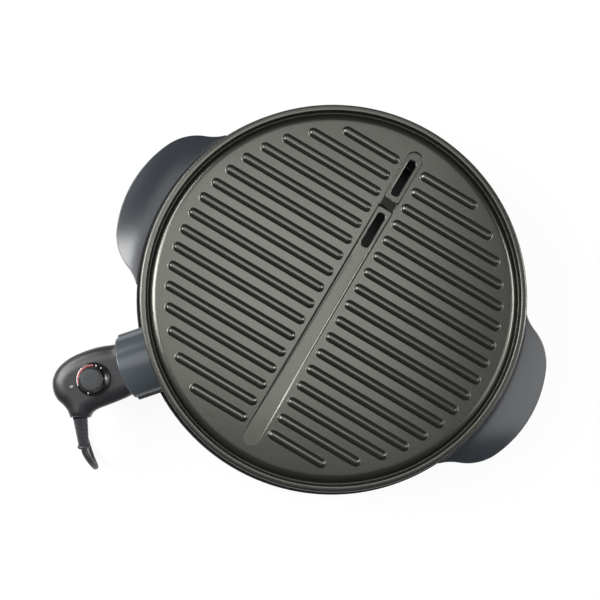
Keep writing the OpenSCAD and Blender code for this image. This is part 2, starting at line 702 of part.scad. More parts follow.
module terminal_block() {
    color("#e8e4d8") at_probe() difference() {
        translate([web_x - block_t - 0.2, -block_w / 2, probe_z - block_h / 2]) cube([block_t, block_w, block_h]);
        for (y = [-1, 1]) translate([0, y * pin_y, probe_z]) rod_x(pin_d / 2 + 0.1, web_x - 15, web_x + 5);
        translate([0, 0, probe_z]) rod_x(sensor_r + 1.5, web_x - 15, web_x + 5);
    }
}

module terminal_pins() {
    color("#c9c6bd") at_probe() for (y = [-1, 1]) translate([0, y * pin_y, probe_z]) {
        rod_x(pin_d / 2, pin_in_x, pin_end_x - 1.5);
        translate([pin_end_x - 1.5, 0, 0]) rotate([0, 90, 0]) cylinder(r1 = pin_d / 2, r2 = pin_d / 2 - 1, h = 1.5);
    }
}

// Half width and level of the shroud's outline: flanged sides and an arched top

function shroud_section(d) = let (w = shroud_w / 2, rise = shroud_top_z - arch_z,
    r = (w ^ 2 + rise ^ 2) / (2 * rise), a = asin(w / r), c = [0, shroud_top_z - r])
    concat([[w - d, shroud_foot_z + d]], arc(c, r - d, 90 - asin((w - d) / (r - d)), 90 + asin((w - d) / (r - d)), 24),
    [[d - w, shroud_foot_z + d]]);

module terminal_shroud() {
    w = shroud_w / 2 + shroud_flange;
    color("#43474c") at_probe() intersection() {
        difference() {
            union() {
                translate([shroud_in_x, 0, 0]) rotate([90, 0, 90]) linear_extrude(shroud_reach - shroud_in_x + 10) polygon(shroud_section(0));
                translate([shroud_in_x, -w, shroud_foot_z])
                    cube([shroud_reach - shroud_in_x + 10, 2 * w, shroud_flange_z - shroud_foot_z]);
            }
            translate([shroud_in_x + shroud_wall, 0, 0]) rotate([90, 0, 90]) linear_extrude(shroud_reach - shroud_in_x + 10)
                polygon(shroud_section(shroud_wall));
            for (y = [-1, 1]) {
                translate([0, y * pin_y, probe_z]) rod_x(pin_hole_r, shroud_in_x - 5, shroud_in_x + 10);
                translate([0, y * shroud_screw.x, shroud_screw.y]) rod_x(screw_r + 0.1, shroud_in_x - 5, shroud_in_x + 8);
            }
            translate([0, 0, probe_z]) rod_x(sensor_r + 1.5, shroud_in_x - 5, shroud_in_x + 10);
        }
        translate([shroud_reach - shroud_end_r, 0, 0]) cylinder(r = shroud_end_r, h = 200);
    }
}

module shroud_screws() {
    color("#8d9094") at_probe() for (y = [-1, 1]) translate([web_x - 0.1 - 1.8, y * shroud_screw.x, shroud_screw.y]) rotate([0, 90, 0])
        screw(screw_r, 6, 3.4, 1.8);
}

function case_outline() = concat([[nose_x, -30.5]], spline(case_left, 3), neck_end, spline(case_right, 3),
    [[nose_x, 30.5]]);

// Half of the heat control's case, from the parting line upwards
module case_half() {
    skin = [[0, 0.1], [0, case_h * 0.3], [1, case_h * 0.57], [3, case_h * 0.78], [6.5, case_h * 0.94], [11, case_h]];
    hole = [[case_wall, -1], [case_wall, case_h * 0.4], [case_wall + 3, case_h - case_wall]];
    difference() {
        loft([for (s = skin) inset(case_outline(), s[0])], [for (s = skin) s[1]], [316, 5]);
        loft([for (s = hole) inset(case_outline(), s[0])], [for (s = hole) s[1]], [316, 5]);
        for (y = [-1, 1]) translate([0, y * pin_y, 0]) rod_x(sleeve_r + 0.2, nose_x - 1, nose_x + 10);
        rod_x(sensor_r + 0.2, nose_x - 1, nose_x + 10);
        translate([neck_mid.x, neck_mid.y, 0]) rotate([0, 0, atan2(neck_dir.y, neck_dir.x)]) rod_x(stem_r + 0.1, -14, 4);
    }
    for (p = case_screw_places) translate([p.x, p.y, 0.1]) difference() {
        cylinder(r = 4.2, h = case_h - case_wall + 0.3);
        translate([0, 0, -1]) cylinder(r = case_screw_r + 0.1, h = 10);
    }
}

module probe_upper_case() {
    color("#2d2d31") at_control() translate([0, 0, probe_z]) difference() {
        case_half();
        translate([dial_x, 0, 0]) cylinder(r = dial_shaft_d / 2 + 0.05, h = 30);
        translate([lens_x, 0, case_h - 1.2]) rounded_rect(lens_l + 0.2, lens_w + 0.2, 0.6, 5);
    }
}

module probe_lower_case() {
    color("#2d2d31") at_control() translate([0, 0, probe_z]) mirror([0, 0, 1]) difference() {
        case_half();
        for (p = case_screw_places) translate([p.x, p.y, 0]) {
            cylinder(r = case_screw_r + 0.4, h = 2 * case_h);
            translate([0, 0, case_h - 5]) cylinder(r = 2 * case_screw_r + 0.1, h = 2 * case_h);
        }
    }
}

module case_screws() {
    color("#8d9094") at_control() for (p = case_screw_places)
        translate([p.x, p.y, probe_z - case_h + 3.4]) screw(case_screw_r, 16, 2 * case_screw_r, 1.5);
}

module indicator_lens() {
    color("#e8e2d4") at_control() translate([lens_x, 0, probe_z + case_h - 1.1])
        rounded_rect(lens_l, lens_w, 0.6, 1.4);
}

module sensor_rod() {
    color("#b5b7ba") at_probe() translate([0, 0, probe_z]) {
        rod_x(sensor_r, sensor_tip_x + 2, sensor_end_x);
        translate([sensor_tip_x + 2, 0, 0]) sphere(r = sensor_r);
    }
}

module contact_sleeves() {
    color("#c2a15a") at_control() for (y = [-1, 1]) translate([0, y * pin_y, probe_z]) difference() {
        rod_x(sleeve_r, nose_x + 0.5, nose_x + 21);
        rod_x(pin_d / 2 + 0.05, nose_x - 1, nose_x + 18);
    }
}

module thermostat_frame() {
    t = 1;
    color("#a9abad") at_control() translate([frame_x, -frame_w / 2, probe_z - 10]) difference() {
        cube([frame_l, frame_w, 11]);
        translate([-1, t, t]) cube([frame_l + 2, frame_w - 2 * t, 20]);
        translate([dial_x - frame_x, frame_w / 2, -1]) cylinder(r = dial_shaft_d / 2 + 0.3, h = 4);
    }
}

module thermostat_blades() {
    color("#c08a4a") at_control() for (i = [0, 1]) translate([blade_x, -7, probe_z - 5.5 + 3 * i]) {
        cube([dial_x - dial_shaft_d / 2 - 1 - blade_x, 14, 0.6]);
        translate([8, 3, -2.4]) cube([6, 8, 2.4]);
    }
}

module dial_shaft() {
    color("#9a9c9e") at_control() translate([dial_x, 0, probe_z - 10 + 1.2])
        cylinder(r = dial_shaft_d / 2, h = case_h + 10 - 1.2 + dial_h * 0.6);
}

module control_dial() {
    r = dial_d / 2;
    cr = dial_cap_d / 2;
    z = probe_z + case_h + play;
    color("#26262a") at_control() translate([dial_x, 0, z]) difference() {
        rotate_extrude() polygon([[0, 0], [r - 0.5, 0], [r, 0.6], [r, 2.4], [r - 0.8, 3.4], [cr + 1.6, dial_h * 0.55],
            [cr + 1, dial_h - 0.6], [cr + 0.4, dial_h], [0, dial_h]]);
        translate([0, 0, -1]) cylinder(r = dial_shaft_d / 2 + 0.05, h = dial_h * 0.6 - play + 1.2);
        translate([0, 0, dial_h - 1.5]) cylinder(r = cr, h = 5);
    }
}

module dial_cap() {
    z = probe_z + case_h + play + dial_h - 1.4;
    color("#77797d") at_control() translate([dial_x, 0, z]) rotate_extrude()
        polygon([[0, 0], [dial_cap_d / 2 - 0.2, 0], [dial_cap_d / 2 - 0.2, 1.4], [dial_cap_d / 2 - 1, 2], [0, 2]]);
}

module strain_relief() {
    color("#232327") at_control() translate([neck_mid.x, neck_mid.y, probe_z])
        rotate([0, 0, atan2(neck_dir.y, neck_dir.x)]) {
            rod_x(stem_r, -8, 1);
            rod_x(8.6, collar_x, collar_x + 1.6);
            difference() {
              rotate([0, droop, 0]) {
                rotate([0, 90, 0]) difference() {
                    translate([0, 0, 0.1]) cylinder(r1 = 8.4, r2 = 6, h = relief_l / cos(droop) - 4);
                    for (i = [0:3]) translate([0, 0, 7 + 5 * i]) difference() {
                        cylinder(r = 12, h = 1.6);
                        translate([0, 0, -1]) cylinder(r = 5, h = 4);
                    }
                }
                translate([relief_l / cos(droop) - 5, 0, 0]) rotate([0, 90, 0]) rotate_extrude()
                    polygon(concat([[0, 0], [5.8, 0]], arc([bead_r - 2.4, 2.5], 2.4, -70, 70, 6), [[4, 5], [0, 5]]));
              }
              translate([collar_x - 20, -20, -20]) cube([20, 40, 40]);
            }
        }
}

module cord_clamp() {
    color("#d8d4c8") at_control() translate([neck_mid.x, neck_mid.y, probe_z])
        rotate([0, 0, atan2(neck_dir.y, neck_dir.x)]) translate([-13, -6, -8]) cube([4, 12, 16]);
}

module cord_lead() {
    color("#202022") at_control() tube(spline(lead_points, 2), cord_d, 10);
}

// The hank: loops with straight runs drawn in at the waist, each climbing a layer on its way out

function waist(x) = hank_r - hank_pinch * (1 + cos(360 * x / hank_run)) / 2;
function ease(t) = t * t * (3 - 2 * t);
function hank_point(t) = let (k = floor(t + 0.0001), s = t - k, h = hank_run / 2)
    s < 0.25 ? let (x = h - 4 * s * hank_run) [x, waist(x), k * hank_pitch]
    : s < 0.5 ? let (a = 90 + (s - 0.25) * 720) [-h + hank_r * cos(a), hank_r * sin(a), k * hank_pitch]
    : s < 0.75 ? let (x = -h + 4 * (s - 0.5) * hank_run) [x, -waist(x), (k + ease(4 * (s - 0.5))) * hank_pitch]
    : let (a = -90 + (s - 0.75) * 720) [h + hank_r * cos(a), hank_r * sin(a), (k + 1) * hank_pitch];
hank_path = [for (i = [0:hank_loops * hank_steps]) [hank_x, 0, hank_z] + hank_point(i / hank_steps)];

// The least gap between loops, measured on the path's points
hank_gap = min([for (i = [0:len(hank_path) - 1], j = [0:len(hank_path) - 1]) if (j > i + hank_steps / 3)
    norm(hank_path[i] - hank_path[j])]) - cord_d;
echo(hank_gap = hank_gap);

module cord_hank() {
    color("#202022") at_control() tube(hank_path, cord_d, 6);
}

module cord_tail() {
    color("#202022") at_control() tube(spline(tail_points, 2), cord_d, 10);
}

module cord_tie() {
    w = hank_r - hank_pinch + cord_d / 2;
    h = hank_pitch * 2 + cord_d;
    color("#111112") at_control() translate([hank_x - 3, 0, hank_z - cord_d / 2 + h / 2]) rotate([90, 0, 90])
        linear_extrude(6) difference() {
            tie_section(w + 1.4, h / 2 + 1.4, 4);
            tie_section(w + 0.3, h / 2 + 0.3, 3);
        }
}

module tie_section(w, h, r) {
    polygon(concat(arc([w - r, h - r], r, 0, 90, 5), arc([r - w, h - r], r, 90, 180, 5),
        arc([r - w, r - h], r, 180, 270, 5), arc([w - r, r - h], r, 270, 360, 5)));
}

module plug_body() {
    color("#1d1d1f") at_control() translate([plug_x, plug_y, plug_z]) difference() {
        union() {
            rotate([0, 90, 0]) cylinder(r1 = 4.5, r2 = 6.5, h = 12);
            translate([10, 0, 0]) rotate([90, 0, 90]) linear_extrude(22) tie_section(plug_w / 2, plug_h / 2, 5);
        }
        for (y = [-1, 1]) translate([28.9, y * 6.35 - 0.8, -3.25]) cube([5, 1.6, 6.5]);
    }
}

module plug_pins() {
    color("#c9b273") at_control() translate([plug_x + 32, plug_y, plug_z]) {
        for (y = [-1, 1]) translate([-3, y * 6.35 - 0.75, -3.2]) cube([20, 1.5, 6.4]);
    }
}

on_axis() base_shell();
on_axis() left_handle();
on_axis() right_handle();
on_axis() handle_screws();
on_axis() heat_shield();
on_axis() shield_screws();
on_axis() rest_pads();
on_axis() rubber_feet();
on_axis() foot_screws();
on_axis() drip_tray();
on_axis() grill_plate();
on_axis() heating_element();
on_axis() element_clips();
on_axis() clip_screws();
on_axis() terminal_bracket();
on_axis() bracket_screws();
on_axis() terminal_block();
on_axis() terminal_pins();
on_axis() terminal_shroud();
on_axis() shroud_screws();
on_axis() probe_upper_case();
on_axis() probe_lower_case();
on_axis() case_screws();
on_axis() sensor_rod();
on_axis() contact_sleeves();
on_axis() thermostat_frame();
on_axis() thermostat_blades();
on_axis() indicator_lens();
on_axis() control_dial();
on_axis() dial_cap();
on_axis() dial_shaft();
on_axis() strain_relief();
on_axis() cord_clamp();
on_axis() cord_lead();
on_axis() cord_hank();
on_axis() cord_tail();
on_axis() cord_tie();
on_axis() plug_body();
on_axis() plug_pins();
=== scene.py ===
# %% [markdown]
# # A round electric table grill, dressed in Blender
# The construction is already settled in CAD, so this lesson adds only looks: smooth meshes where the
# CAD solids are faceted, and a material for every finish. Each piece stays where the CAD has it.

# %% Load the frame
import math
import bpy
import bmesh
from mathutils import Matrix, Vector


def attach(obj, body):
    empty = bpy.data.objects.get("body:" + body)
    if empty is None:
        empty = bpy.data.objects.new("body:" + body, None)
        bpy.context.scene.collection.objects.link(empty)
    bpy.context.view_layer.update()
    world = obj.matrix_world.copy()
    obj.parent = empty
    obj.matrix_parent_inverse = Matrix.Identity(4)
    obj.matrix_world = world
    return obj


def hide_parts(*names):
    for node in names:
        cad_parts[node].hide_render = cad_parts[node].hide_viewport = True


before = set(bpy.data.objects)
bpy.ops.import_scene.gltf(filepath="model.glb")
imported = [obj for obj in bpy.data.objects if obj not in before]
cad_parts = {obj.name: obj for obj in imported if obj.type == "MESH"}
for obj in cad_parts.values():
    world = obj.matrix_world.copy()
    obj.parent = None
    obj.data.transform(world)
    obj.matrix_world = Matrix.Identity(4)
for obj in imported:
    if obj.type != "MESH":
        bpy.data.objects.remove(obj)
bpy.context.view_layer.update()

# %% [markdown]
# ## Where things are
# All sizes below are in millimetres, measured from the vertical axis of the grill plate, as a maker
# would note them. The plate's axis lies a little behind the middle of the outline. The heat control
# plugs in at an angle, so it has a frame of its own: x outwards from the plate, y to the left. Its
# rod, its pins and the parting line of its case all lie at one height, CONTROL_Z.

# %% Frames of the plate and of the heat control
MM = 0.001
PLATE_AXIS_Y = 37.286
HEAT_DEGREES = 229.4
HEAT_ANGLE = math.radians(HEAT_DEGREES)
CONTROL_Z = 66.0


def place(point):
    """A point in millimetres from the plate's axis, as Blender's metres."""
    return Vector((point[0], point[1] + PLATE_AXIS_Y, point[2])) * MM


def heat(x, y, z):
    """A point of the heat control's own frame, in millimetres from the plate's axis."""
    c, s = math.cos(HEAT_ANGLE), math.sin(HEAT_ANGLE)
    return (x * c - y * s, x * s + y * c, z)


print("the heat control's own x axis starts at", place(heat(0, 0, CONTROL_Z)))

# %% [markdown]
# ## The camera
# The grill is seen almost from straight above, from a little towards its front. The lens and the
# place were fitted to the lip's circle, the rim's circle below it and the dial, all at once: two
# circles at different heights fix how far the camera stands and how it leans.

# %% Camera
camera_data = bpy.data.cameras.new("studio_camera")
camera_data.sensor_width = 36
camera_data.lens = 50.22
camera = bpy.data.objects.new("studio_camera", camera_data)
bpy.context.scene.collection.objects.link(camera)
camera.location = place((-24.8, -58.2, 1060.1))
camera.rotation_euler = (math.radians(2.03), math.radians(-0.73), math.radians(30.61))
bpy.context.scene.camera = camera
print("camera at", camera.location)

# %% [markdown]
# ## Light
# The photo's highlights tell where the light is. Three weak panels overhead give the flat casting its
# grey sheen. Two boxes stand where the sloping tops of the wings mirror them. A strip at each side,
# lower down, draws the bright lines on the lip and at both ends of every rib. Together they give
# about plain light, so that the colours below are the finishes' own.

# %% Lamps
PICTURE_TURN = math.radians(30.6)


def soft_box(name, right, up, height, width, length, watts):
    """A rectangular lamp placed by the picture's own directions, in metres, and aimed at the plate."""
    data = bpy.data.lights.new(name, "AREA")
    data.shape = "RECTANGLE"
    data.size, data.size_y = width, length
    data.energy = watts
    lamp = bpy.data.objects.new(name, data)
    c, s = math.cos(PICTURE_TURN), math.sin(PICTURE_TURN)
    lamp.location = (right * c - up * s, right * s + up * c, height)
    aim = Vector((0, 0, 0.08)) - lamp.location
    lamp.rotation_euler = aim.to_track_quat("-Z", "Y").to_euler()
    bpy.context.scene.collection.objects.link(lamp)


soft_box("top_box", 0.03, 0.12, 1.98, 0.85, 0.8, 6.4)
soft_box("top_left_box", -0.66, 0.36, 1.82, 0.75, 0.75, 2.8)
soft_box("top_back_box", 0.12, 0.85, 1.82, 0.9, 0.75, 2.4)
soft_box("right_wing_box", 1.30, -0.40, 1.45, 0.7, 0.9, 5.0)
soft_box("left_wing_box", -1.27, 0.17, 1.45, 0.6, 0.7, 19)
soft_box("left_strip", -1.60, 0.66, 1.15, 1.5, 0.6, 33)
soft_box("right_strip", 1.75, 0.12, 1.08, 0.8, 0.6, 24)

# %% [markdown]
# ## Colours and nodes
# Colours are written as the hex values that a screen shows, and one function turns them into the
# linear values that the renderer wants. Every material is made of nodes, and one small function adds
# a node with its settings and its links.

# %% Two small helpers
def linear(hex_colour, alpha=1.0):
    """An sRGB hex colour as linear RGBA."""
    parts = [int(hex_colour[i:i + 2], 16) / 255 for i in (1, 3, 5)]
    parts = [p / 12.92 if p <= 0.04045 else ((p + 0.055) / 1.055) ** 2.4 for p in parts]
    return (*parts, alpha)


def add_node(tree, kind, settings=None, links=None):
    """One node: settings go to sockets or attributes by name, links bring other nodes' outputs in."""
    node = tree.nodes.new(kind)
    for name, value in (settings or {}).items():
        if isinstance(name, int) or name in node.inputs:
            node.inputs[name].default_value = value
        else:
            setattr(node, name, value)
    for name, source in (links or {}).items():
        tree.links.new(source, node.inputs[name])
    return node


print("mid grey is", linear("#808080"))

# %% [markdown]
# ## The floor and the surroundings
# A white sweep is what the photo shows. The floor is an ordinary matt white. To the camera it is
# lifted most of the way to white, and the rest of it still takes the shadow. Reflections see the
# plain matt floor.

# %% Surroundings
world = bpy.data.worlds.new("studio_world")
world.use_nodes = True
sky = world.node_tree
sky.nodes.clear()
path = add_node(sky, "ShaderNodeLightPath")
seen = add_node(sky, "ShaderNodeBackground", {"Color": (1, 1, 1, 1), "Strength": 1.0})
fill = add_node(sky, "ShaderNodeBackground", {"Color": (1, 1, 1, 1), "Strength": 0.08})
both = add_node(sky, "ShaderNodeMixShader", None,
                {0: path.outputs["Is Camera Ray"], 1: fill.outputs[0], 2: seen.outputs[0]})
add_node(sky, "ShaderNodeOutputWorld", None, {"Surface": both.outputs[0]})
bpy.context.scene.world = world
bpy.context.scene.view_settings.view_transform = "Standard"

floor_mesh = bpy.data.meshes.new("floor")
floor_mesh.from_pydata([(-4, -4, 0), (4, -4, 0), (4, 4, 0), (-4, 4, 0)], [], [(0, 1, 2, 3)])
floor = bpy.data.objects.new("floor", floor_mesh)
bpy.context.scene.collection.objects.link(floor)

sweep = bpy.data.materials.new("white_paper_sweep")
sweep.use_nodes = True
paper = sweep.node_tree
paper.nodes.clear()
matt = add_node(paper, "ShaderNodeBsdfDiffuse", {"Color": (0.86, 0.86, 0.86, 1)})
lift = add_node(paper, "ShaderNodeEmission", {"Color": (1, 1, 1, 1), "Strength": 1.0})
rays = add_node(paper, "ShaderNodeLightPath")
white = add_node(paper, "ShaderNodeMath", {"operation": "MULTIPLY", 1: 0.92}, {0: rays.outputs["Is Camera Ray"]})
mixed = add_node(paper, "ShaderNodeMixShader", None,
                 {0: white.outputs[0], 1: matt.outputs[0], 2: lift.outputs[0]})
add_node(paper, "ShaderNodeOutputMaterial", None, {"Surface": mixed.outputs[0]})
floor_mesh.materials.append(sweep)
print("floor is 8 m across")

# %% [markdown]
# ## Curves and solids
# Three ways of making a solid cover the whole grill. A turned piece is a profile swept round an axis.
# A lofted piece is a skin through closed loops. A cut piece is one solid less another, which is what
# Blender's boolean modifier does. Normals are weighted by face size, so that flat faces stay flat
# where they run into a small rounding.

# %% Points along arcs and smooth curves
def angles(count):
    """The angles of one full turn in equal steps."""
    return [2 * math.pi * k / count for k in range(count)]


def arc(cx, cy, radius, start, end, steps):
    """Points on an arc in a plane, angles in degrees."""
    turn = [math.radians(start + (end - start) * i / steps) for i in range(steps + 1)]
    return [(cx + radius * math.cos(t), cy + radius * math.sin(t)) for t in turn]


def smooth_curve(points, steps):
    """A curve through all the points, with some steps between each two."""
    p = [Vector(q) for q in points]
    out = []
    for i in range(len(p) - 1):
        a = p[i - 1] if i else 2 * p[0] - p[1]
        b, c = p[i], p[i + 1]
        d = p[i + 2] if i + 2 < len(p) else 2 * p[-1] - p[-2]
        for k in range(steps):
            t = k / steps
            out.append(0.5 * (2 * b + (c - a) * t + (2 * a - 5 * b + 4 * c - d) * t ** 2
                              + (3 * b - a - 3 * c + d) * t ** 3))
    out.append(p[-1])
    return out


def turned(profile, steps):
    """Loops of a turned piece: the profile holds (radius, height) pairs."""
    return [[(r * math.cos(t), r * math.sin(t), z) for t in angles(steps)] for r, z in profile]


# %% Meshes from loops, and cutting
def loft(name, loops):
    """A mesh through closed loops of points in millimetres, closed at both ends."""
    work = bmesh.new()
    rows = [[work.verts.new(place(p)) for p in loop] for loop in loops]
    count = len(rows[0])
    for low, high in zip(rows, rows[1:]):
        for i in range(count):
            k = (i + 1) % count
            work.faces.new((low[i], low[k], high[k], high[i]))
    work.faces.new(list(reversed(rows[0])))
    work.faces.new(rows[-1])
    bmesh.ops.recalc_face_normals(work, faces=work.faces)
    mesh = bpy.data.meshes.new(name)
    work.to_mesh(mesh)
    work.free()
    piece = bpy.data.objects.new(name, mesh)
    bpy.context.scene.collection.objects.link(piece)
    return piece


def joined(piece, *others):
    """Adds other pieces' meshes to the first one and removes them."""
    work = bmesh.new()
    for obj in (piece, *others):
        work.from_mesh(obj.data)
    work.to_mesh(piece.data)
    work.free()
    for obj in others:
        bpy.data.objects.remove(obj)
    return piece


def applied(piece):
    """Turns the modifiers' result into the piece's own mesh."""
    shape = piece.evaluated_get(bpy.context.evaluated_depsgraph_get())
    mesh = bpy.data.meshes.new_from_object(shape)
    piece.modifiers.clear()
    piece.data = mesh
    return piece


def cut(piece, cutter):
    """Takes the cutter's volume out of the piece."""
    saw = piece.modifiers.new("saw", "BOOLEAN")
    saw.operation = "DIFFERENCE"
    saw.solver = "EXACT"
    saw.object = cutter
    applied(piece)
    bpy.data.objects.remove(cutter)
    return piece


def finished(piece, material, body, nodes=(), crease=50):
    """Smooths, paints and mounts a piece on its body, and lets it stand for its CAD nodes."""
    piece.data.materials.clear()
    piece.data.materials.append(material)
    for polygon in piece.data.polygons:
        polygon.use_smooth = True
        polygon.material_index = 0
    piece.data.set_sharp_from_angle(angle=math.radians(crease))
    even = piece.modifiers.new("even_normals", "WEIGHTED_NORMAL")
    even.keep_sharp = True
    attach(piece, body)
    if nodes:
        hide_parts(*nodes)
    print(piece.name, "has", len(piece.data.polygons), "faces and rides on", body)
    return piece


# %% [markdown]
# ## Non-stick coating on cast aluminium
# The plate is cast aluminium, blasted and then sprayed with a dark fluoropolymer full of fine metal
# flake. The spray leaves a satin skin with an orange-peel grain of about 0.5 mm, drawn at 0.9 mm so
# that it shows here. The flake makes the coat act as a dark metal with a faint olive tone, and a
# slow cloud shifts that tone from place to place.

# %% Non-stick coating
def material(name):
    """A new material with a principled shader, ready for its nodes."""
    made = bpy.data.materials.new(name)
    made.use_nodes = True
    return made, made.node_tree, made.node_tree.nodes["Principled BSDF"]


def grain(tree, shader, size, strength, distance, detail=3.0):
    """Bump from noise whose grain is the given size in millimetres."""
    where = add_node(tree, "ShaderNodeTexCoord")
    noise = add_node(tree, "ShaderNodeTexNoise", {"Scale": 1000 / size, "Detail": detail},
                     {"Vector": where.outputs["Object"]})
    bump = add_node(tree, "ShaderNodeBump", {"Strength": strength, "Distance": distance * MM},
                    {"Height": noise.outputs["Fac"]})
    tree.links.new(bump.outputs["Normal"], shader.inputs["Normal"])
    return where, noise


coating, tree, shader = material("nonstick_coating_on_cast_aluminium")
where, noise = grain(tree, shader, 0.9, 0.25, 0.10)
cloud = add_node(tree, "ShaderNodeTexNoise", {"Scale": 14, "Detail": 2.0}, {"Vector": where.outputs["Object"]})
faint = add_node(tree, "ShaderNodeMath", {"operation": "MULTIPLY_ADD", 1: 0.35, 2: 0.0}, {0: cloud.outputs["Fac"]})
total = add_node(tree, "ShaderNodeMath", {"operation": "ADD"}, {0: faint.outputs[0], 1: noise.outputs["Fac"]})
tone = add_node(tree, "ShaderNodeValToRGB", None, {"Fac": total.outputs[0]})
tone.color_ramp.elements[0].position, tone.color_ramp.elements[1].position = 0.35, 1.0
tone.color_ramp.elements[0].color, tone.color_ramp.elements[1].color = linear("#4f4f4b"), linear("#5d5d58")
tree.links.new(tone.outputs["Color"], shader.inputs["Base Color"])
shader.inputs["Metallic"].default_value = 0.9
shader.inputs["Roughness"].default_value = 0.27
print(coating.name)

# %% [markdown]
# ## Moulded plastics
# The bowl is a glossy black phenolic, pressed in a polished mould, so it mirrors the room. The wings
# and the shroud are a blue-grey ABS from a polished mould. The heat control's case comes from a
# slightly blasted mould and is a little softer. Each keeps a very faint waviness from moulding.

# %% Moulded plastics
def moulded(name, dark, light, roughness, ior, wave, strength):
    """A moulded plastic with a slow change of tone and a faint waviness, wave in millimetres."""
    made, tree, shader = material(name)
    where, noise = grain(tree, shader, wave, strength, 0.05, 1.0)
    slow = add_node(tree, "ShaderNodeTexNoise", {"Scale": 9, "Detail": 2.0}, {"Vector": where.outputs["Object"]})
    tone = add_node(tree, "ShaderNodeValToRGB", None, {"Fac": slow.outputs["Fac"]})
    tone.color_ramp.elements[0].color, tone.color_ramp.elements[1].color = linear(dark), linear(light)
    tree.links.new(tone.outputs["Color"], shader.inputs["Base Color"])
    shader.inputs["Roughness"].default_value = roughness
    shader.inputs["IOR"].default_value = ior
    return made


# Each has two tones, a roughness, an index of refraction, and its waviness in millimetres and strength.
phenolic = moulded("pressed_black_phenolic", "#0d0e10", "#121316", 0.16, 1.6, 3.0, 0.04)
slate_abs = moulded("moulded_slate_abs", "#272b30", "#2f3338", 0.16, 1.54, 4.0, 0.03)
shroud_abs = moulded("moulded_shroud_abs", "#3b4045", "#444a4f", 0.20, 1.54, 4.0, 0.03)
case_pbt = moulded("blasted_mould_pbt", "#1c1c1f", "#222225", 0.36, 1.5, 0.6, 0.10)
dial_abs = moulded("moulded_black_abs", "#0e0e10", "#141416", 0.26, 1.54, 0.6, 0.06)
cap_abs = moulded("moulded_grey_abs", "#1a1d1f", "#202426", 0.5, 1.5, 0.5, 0.12)
soft_pvc = moulded("soft_pvc", "#2c2c30", "#333338", 0.42, 1.5, 0.8, 0.15)
rubber = moulded("moulded_silicone_rubber", "#19191a", "#202021", 0.6, 1.42, 0.7, 0.2)
lens_pc = moulded("moulded_polycarbonate", "#97938b", "#aca79e", 0.12, 1.58, 2.0, 0.02)
enamel = moulded("enamelled_steel", "#101214", "#16191b", 0.4, 1.5, 2.5, 0.08)
white_ink = moulded("white_pad_print", "#d9d4d0", "#e8e4e0", 0.45, 1.5, 0.5, 0.05)
red_ink = moulded("red_pad_print", "#a0303c", "#b43a46", 0.45, 1.5, 0.5, 0.05)

# The bowl's upper edge is a ground flash line, so it is matt where the pressed wall is polished. The
# roughness rises from polished to matt between these two heights, in metres.
MATT_FROM, MATT_TO = 0.0535, 0.0555
tree = phenolic.node_tree
shader = tree.nodes["Principled BSDF"]
where = add_node(tree, "ShaderNodeTexCoord")
axes = add_node(tree, "ShaderNodeSeparateXYZ", None, {0: where.outputs["Object"]})
rise = add_node(tree, "ShaderNodeMapRange", {1: MATT_FROM, 2: MATT_TO, 3: 0.0, 4: 1.0}, {0: axes.outputs["Z"]})
rough = add_node(tree, "ShaderNodeMath", {"operation": "MULTIPLY_ADD", 1: 0.5, 2: 0.16}, {0: rise.outputs[0]})
tree.links.new(rough.outputs[0], shader.inputs["Roughness"])
shader.inputs["Specular IOR Level"].default_value = 0.2
print("plastics made")

# %% [markdown]
# ## Metals and ceramic
# Screws and brackets are zinc-plated steel, the shield is aluminised sheet, the element's sheath is a
# heat-darkened nickel alloy, and the contacts are brass. Rolled sheet has fine lines about 0.3 mm
# apart, drawn at 1 mm so that they show. A metal keeps the renderer's own index.

# %% Metals and ceramic
def metal(name, dark, light, roughness, line):
    """A metal whose tone and roughness change in fine lines, line in millimetres."""
    made, tree, shader = material(name)
    where = add_node(tree, "ShaderNodeTexCoord")
    squeeze = add_node(tree, "ShaderNodeMapping", {"Scale": (0.05, 1, 1)}, {"Vector": where.outputs["Object"]})
    noise = add_node(tree, "ShaderNodeTexNoise", {"Scale": 1000 / line, "Detail": 2.0},
                     {"Vector": squeeze.outputs[0]})
    tone = add_node(tree, "ShaderNodeValToRGB", None, {"Fac": noise.outputs["Fac"]})
    tone.color_ramp.elements[0].color, tone.color_ramp.elements[1].color = linear(dark), linear(light)
    tree.links.new(tone.outputs["Color"], shader.inputs["Base Color"])
    rough = add_node(tree, "ShaderNodeMath", {"operation": "MULTIPLY_ADD", 1: 0.15, 2: roughness},
                     {0: noise.outputs["Fac"]})
    tree.links.new(rough.outputs[0], shader.inputs["Roughness"])
    shader.inputs["Metallic"].default_value = 1.0
    return made


zinc = metal("zinc_plated_steel", "#a2a4a6", "#b8babc", 0.28, 1.0)
aluminised = metal("aluminised_sheet", "#9c9ea0", "#b4b6b8", 0.32, 1.0)
sheath = metal("heat_darkened_sheath", "#35342f", "#4a4842", 0.45, 2.0)
nickel = metal("nickel_plated_pin", "#b5b1a6", "#c8c4ba", 0.15, 1.0)
brass = metal("stamped_brass", "#b08a4c", "#c6a15f", 0.25, 1.0)
steatite = moulded("pressed_steatite", "#cfcabd", "#dcd7ca", 0.55, 1.6, 0.6, 0.2)
print("metals made")
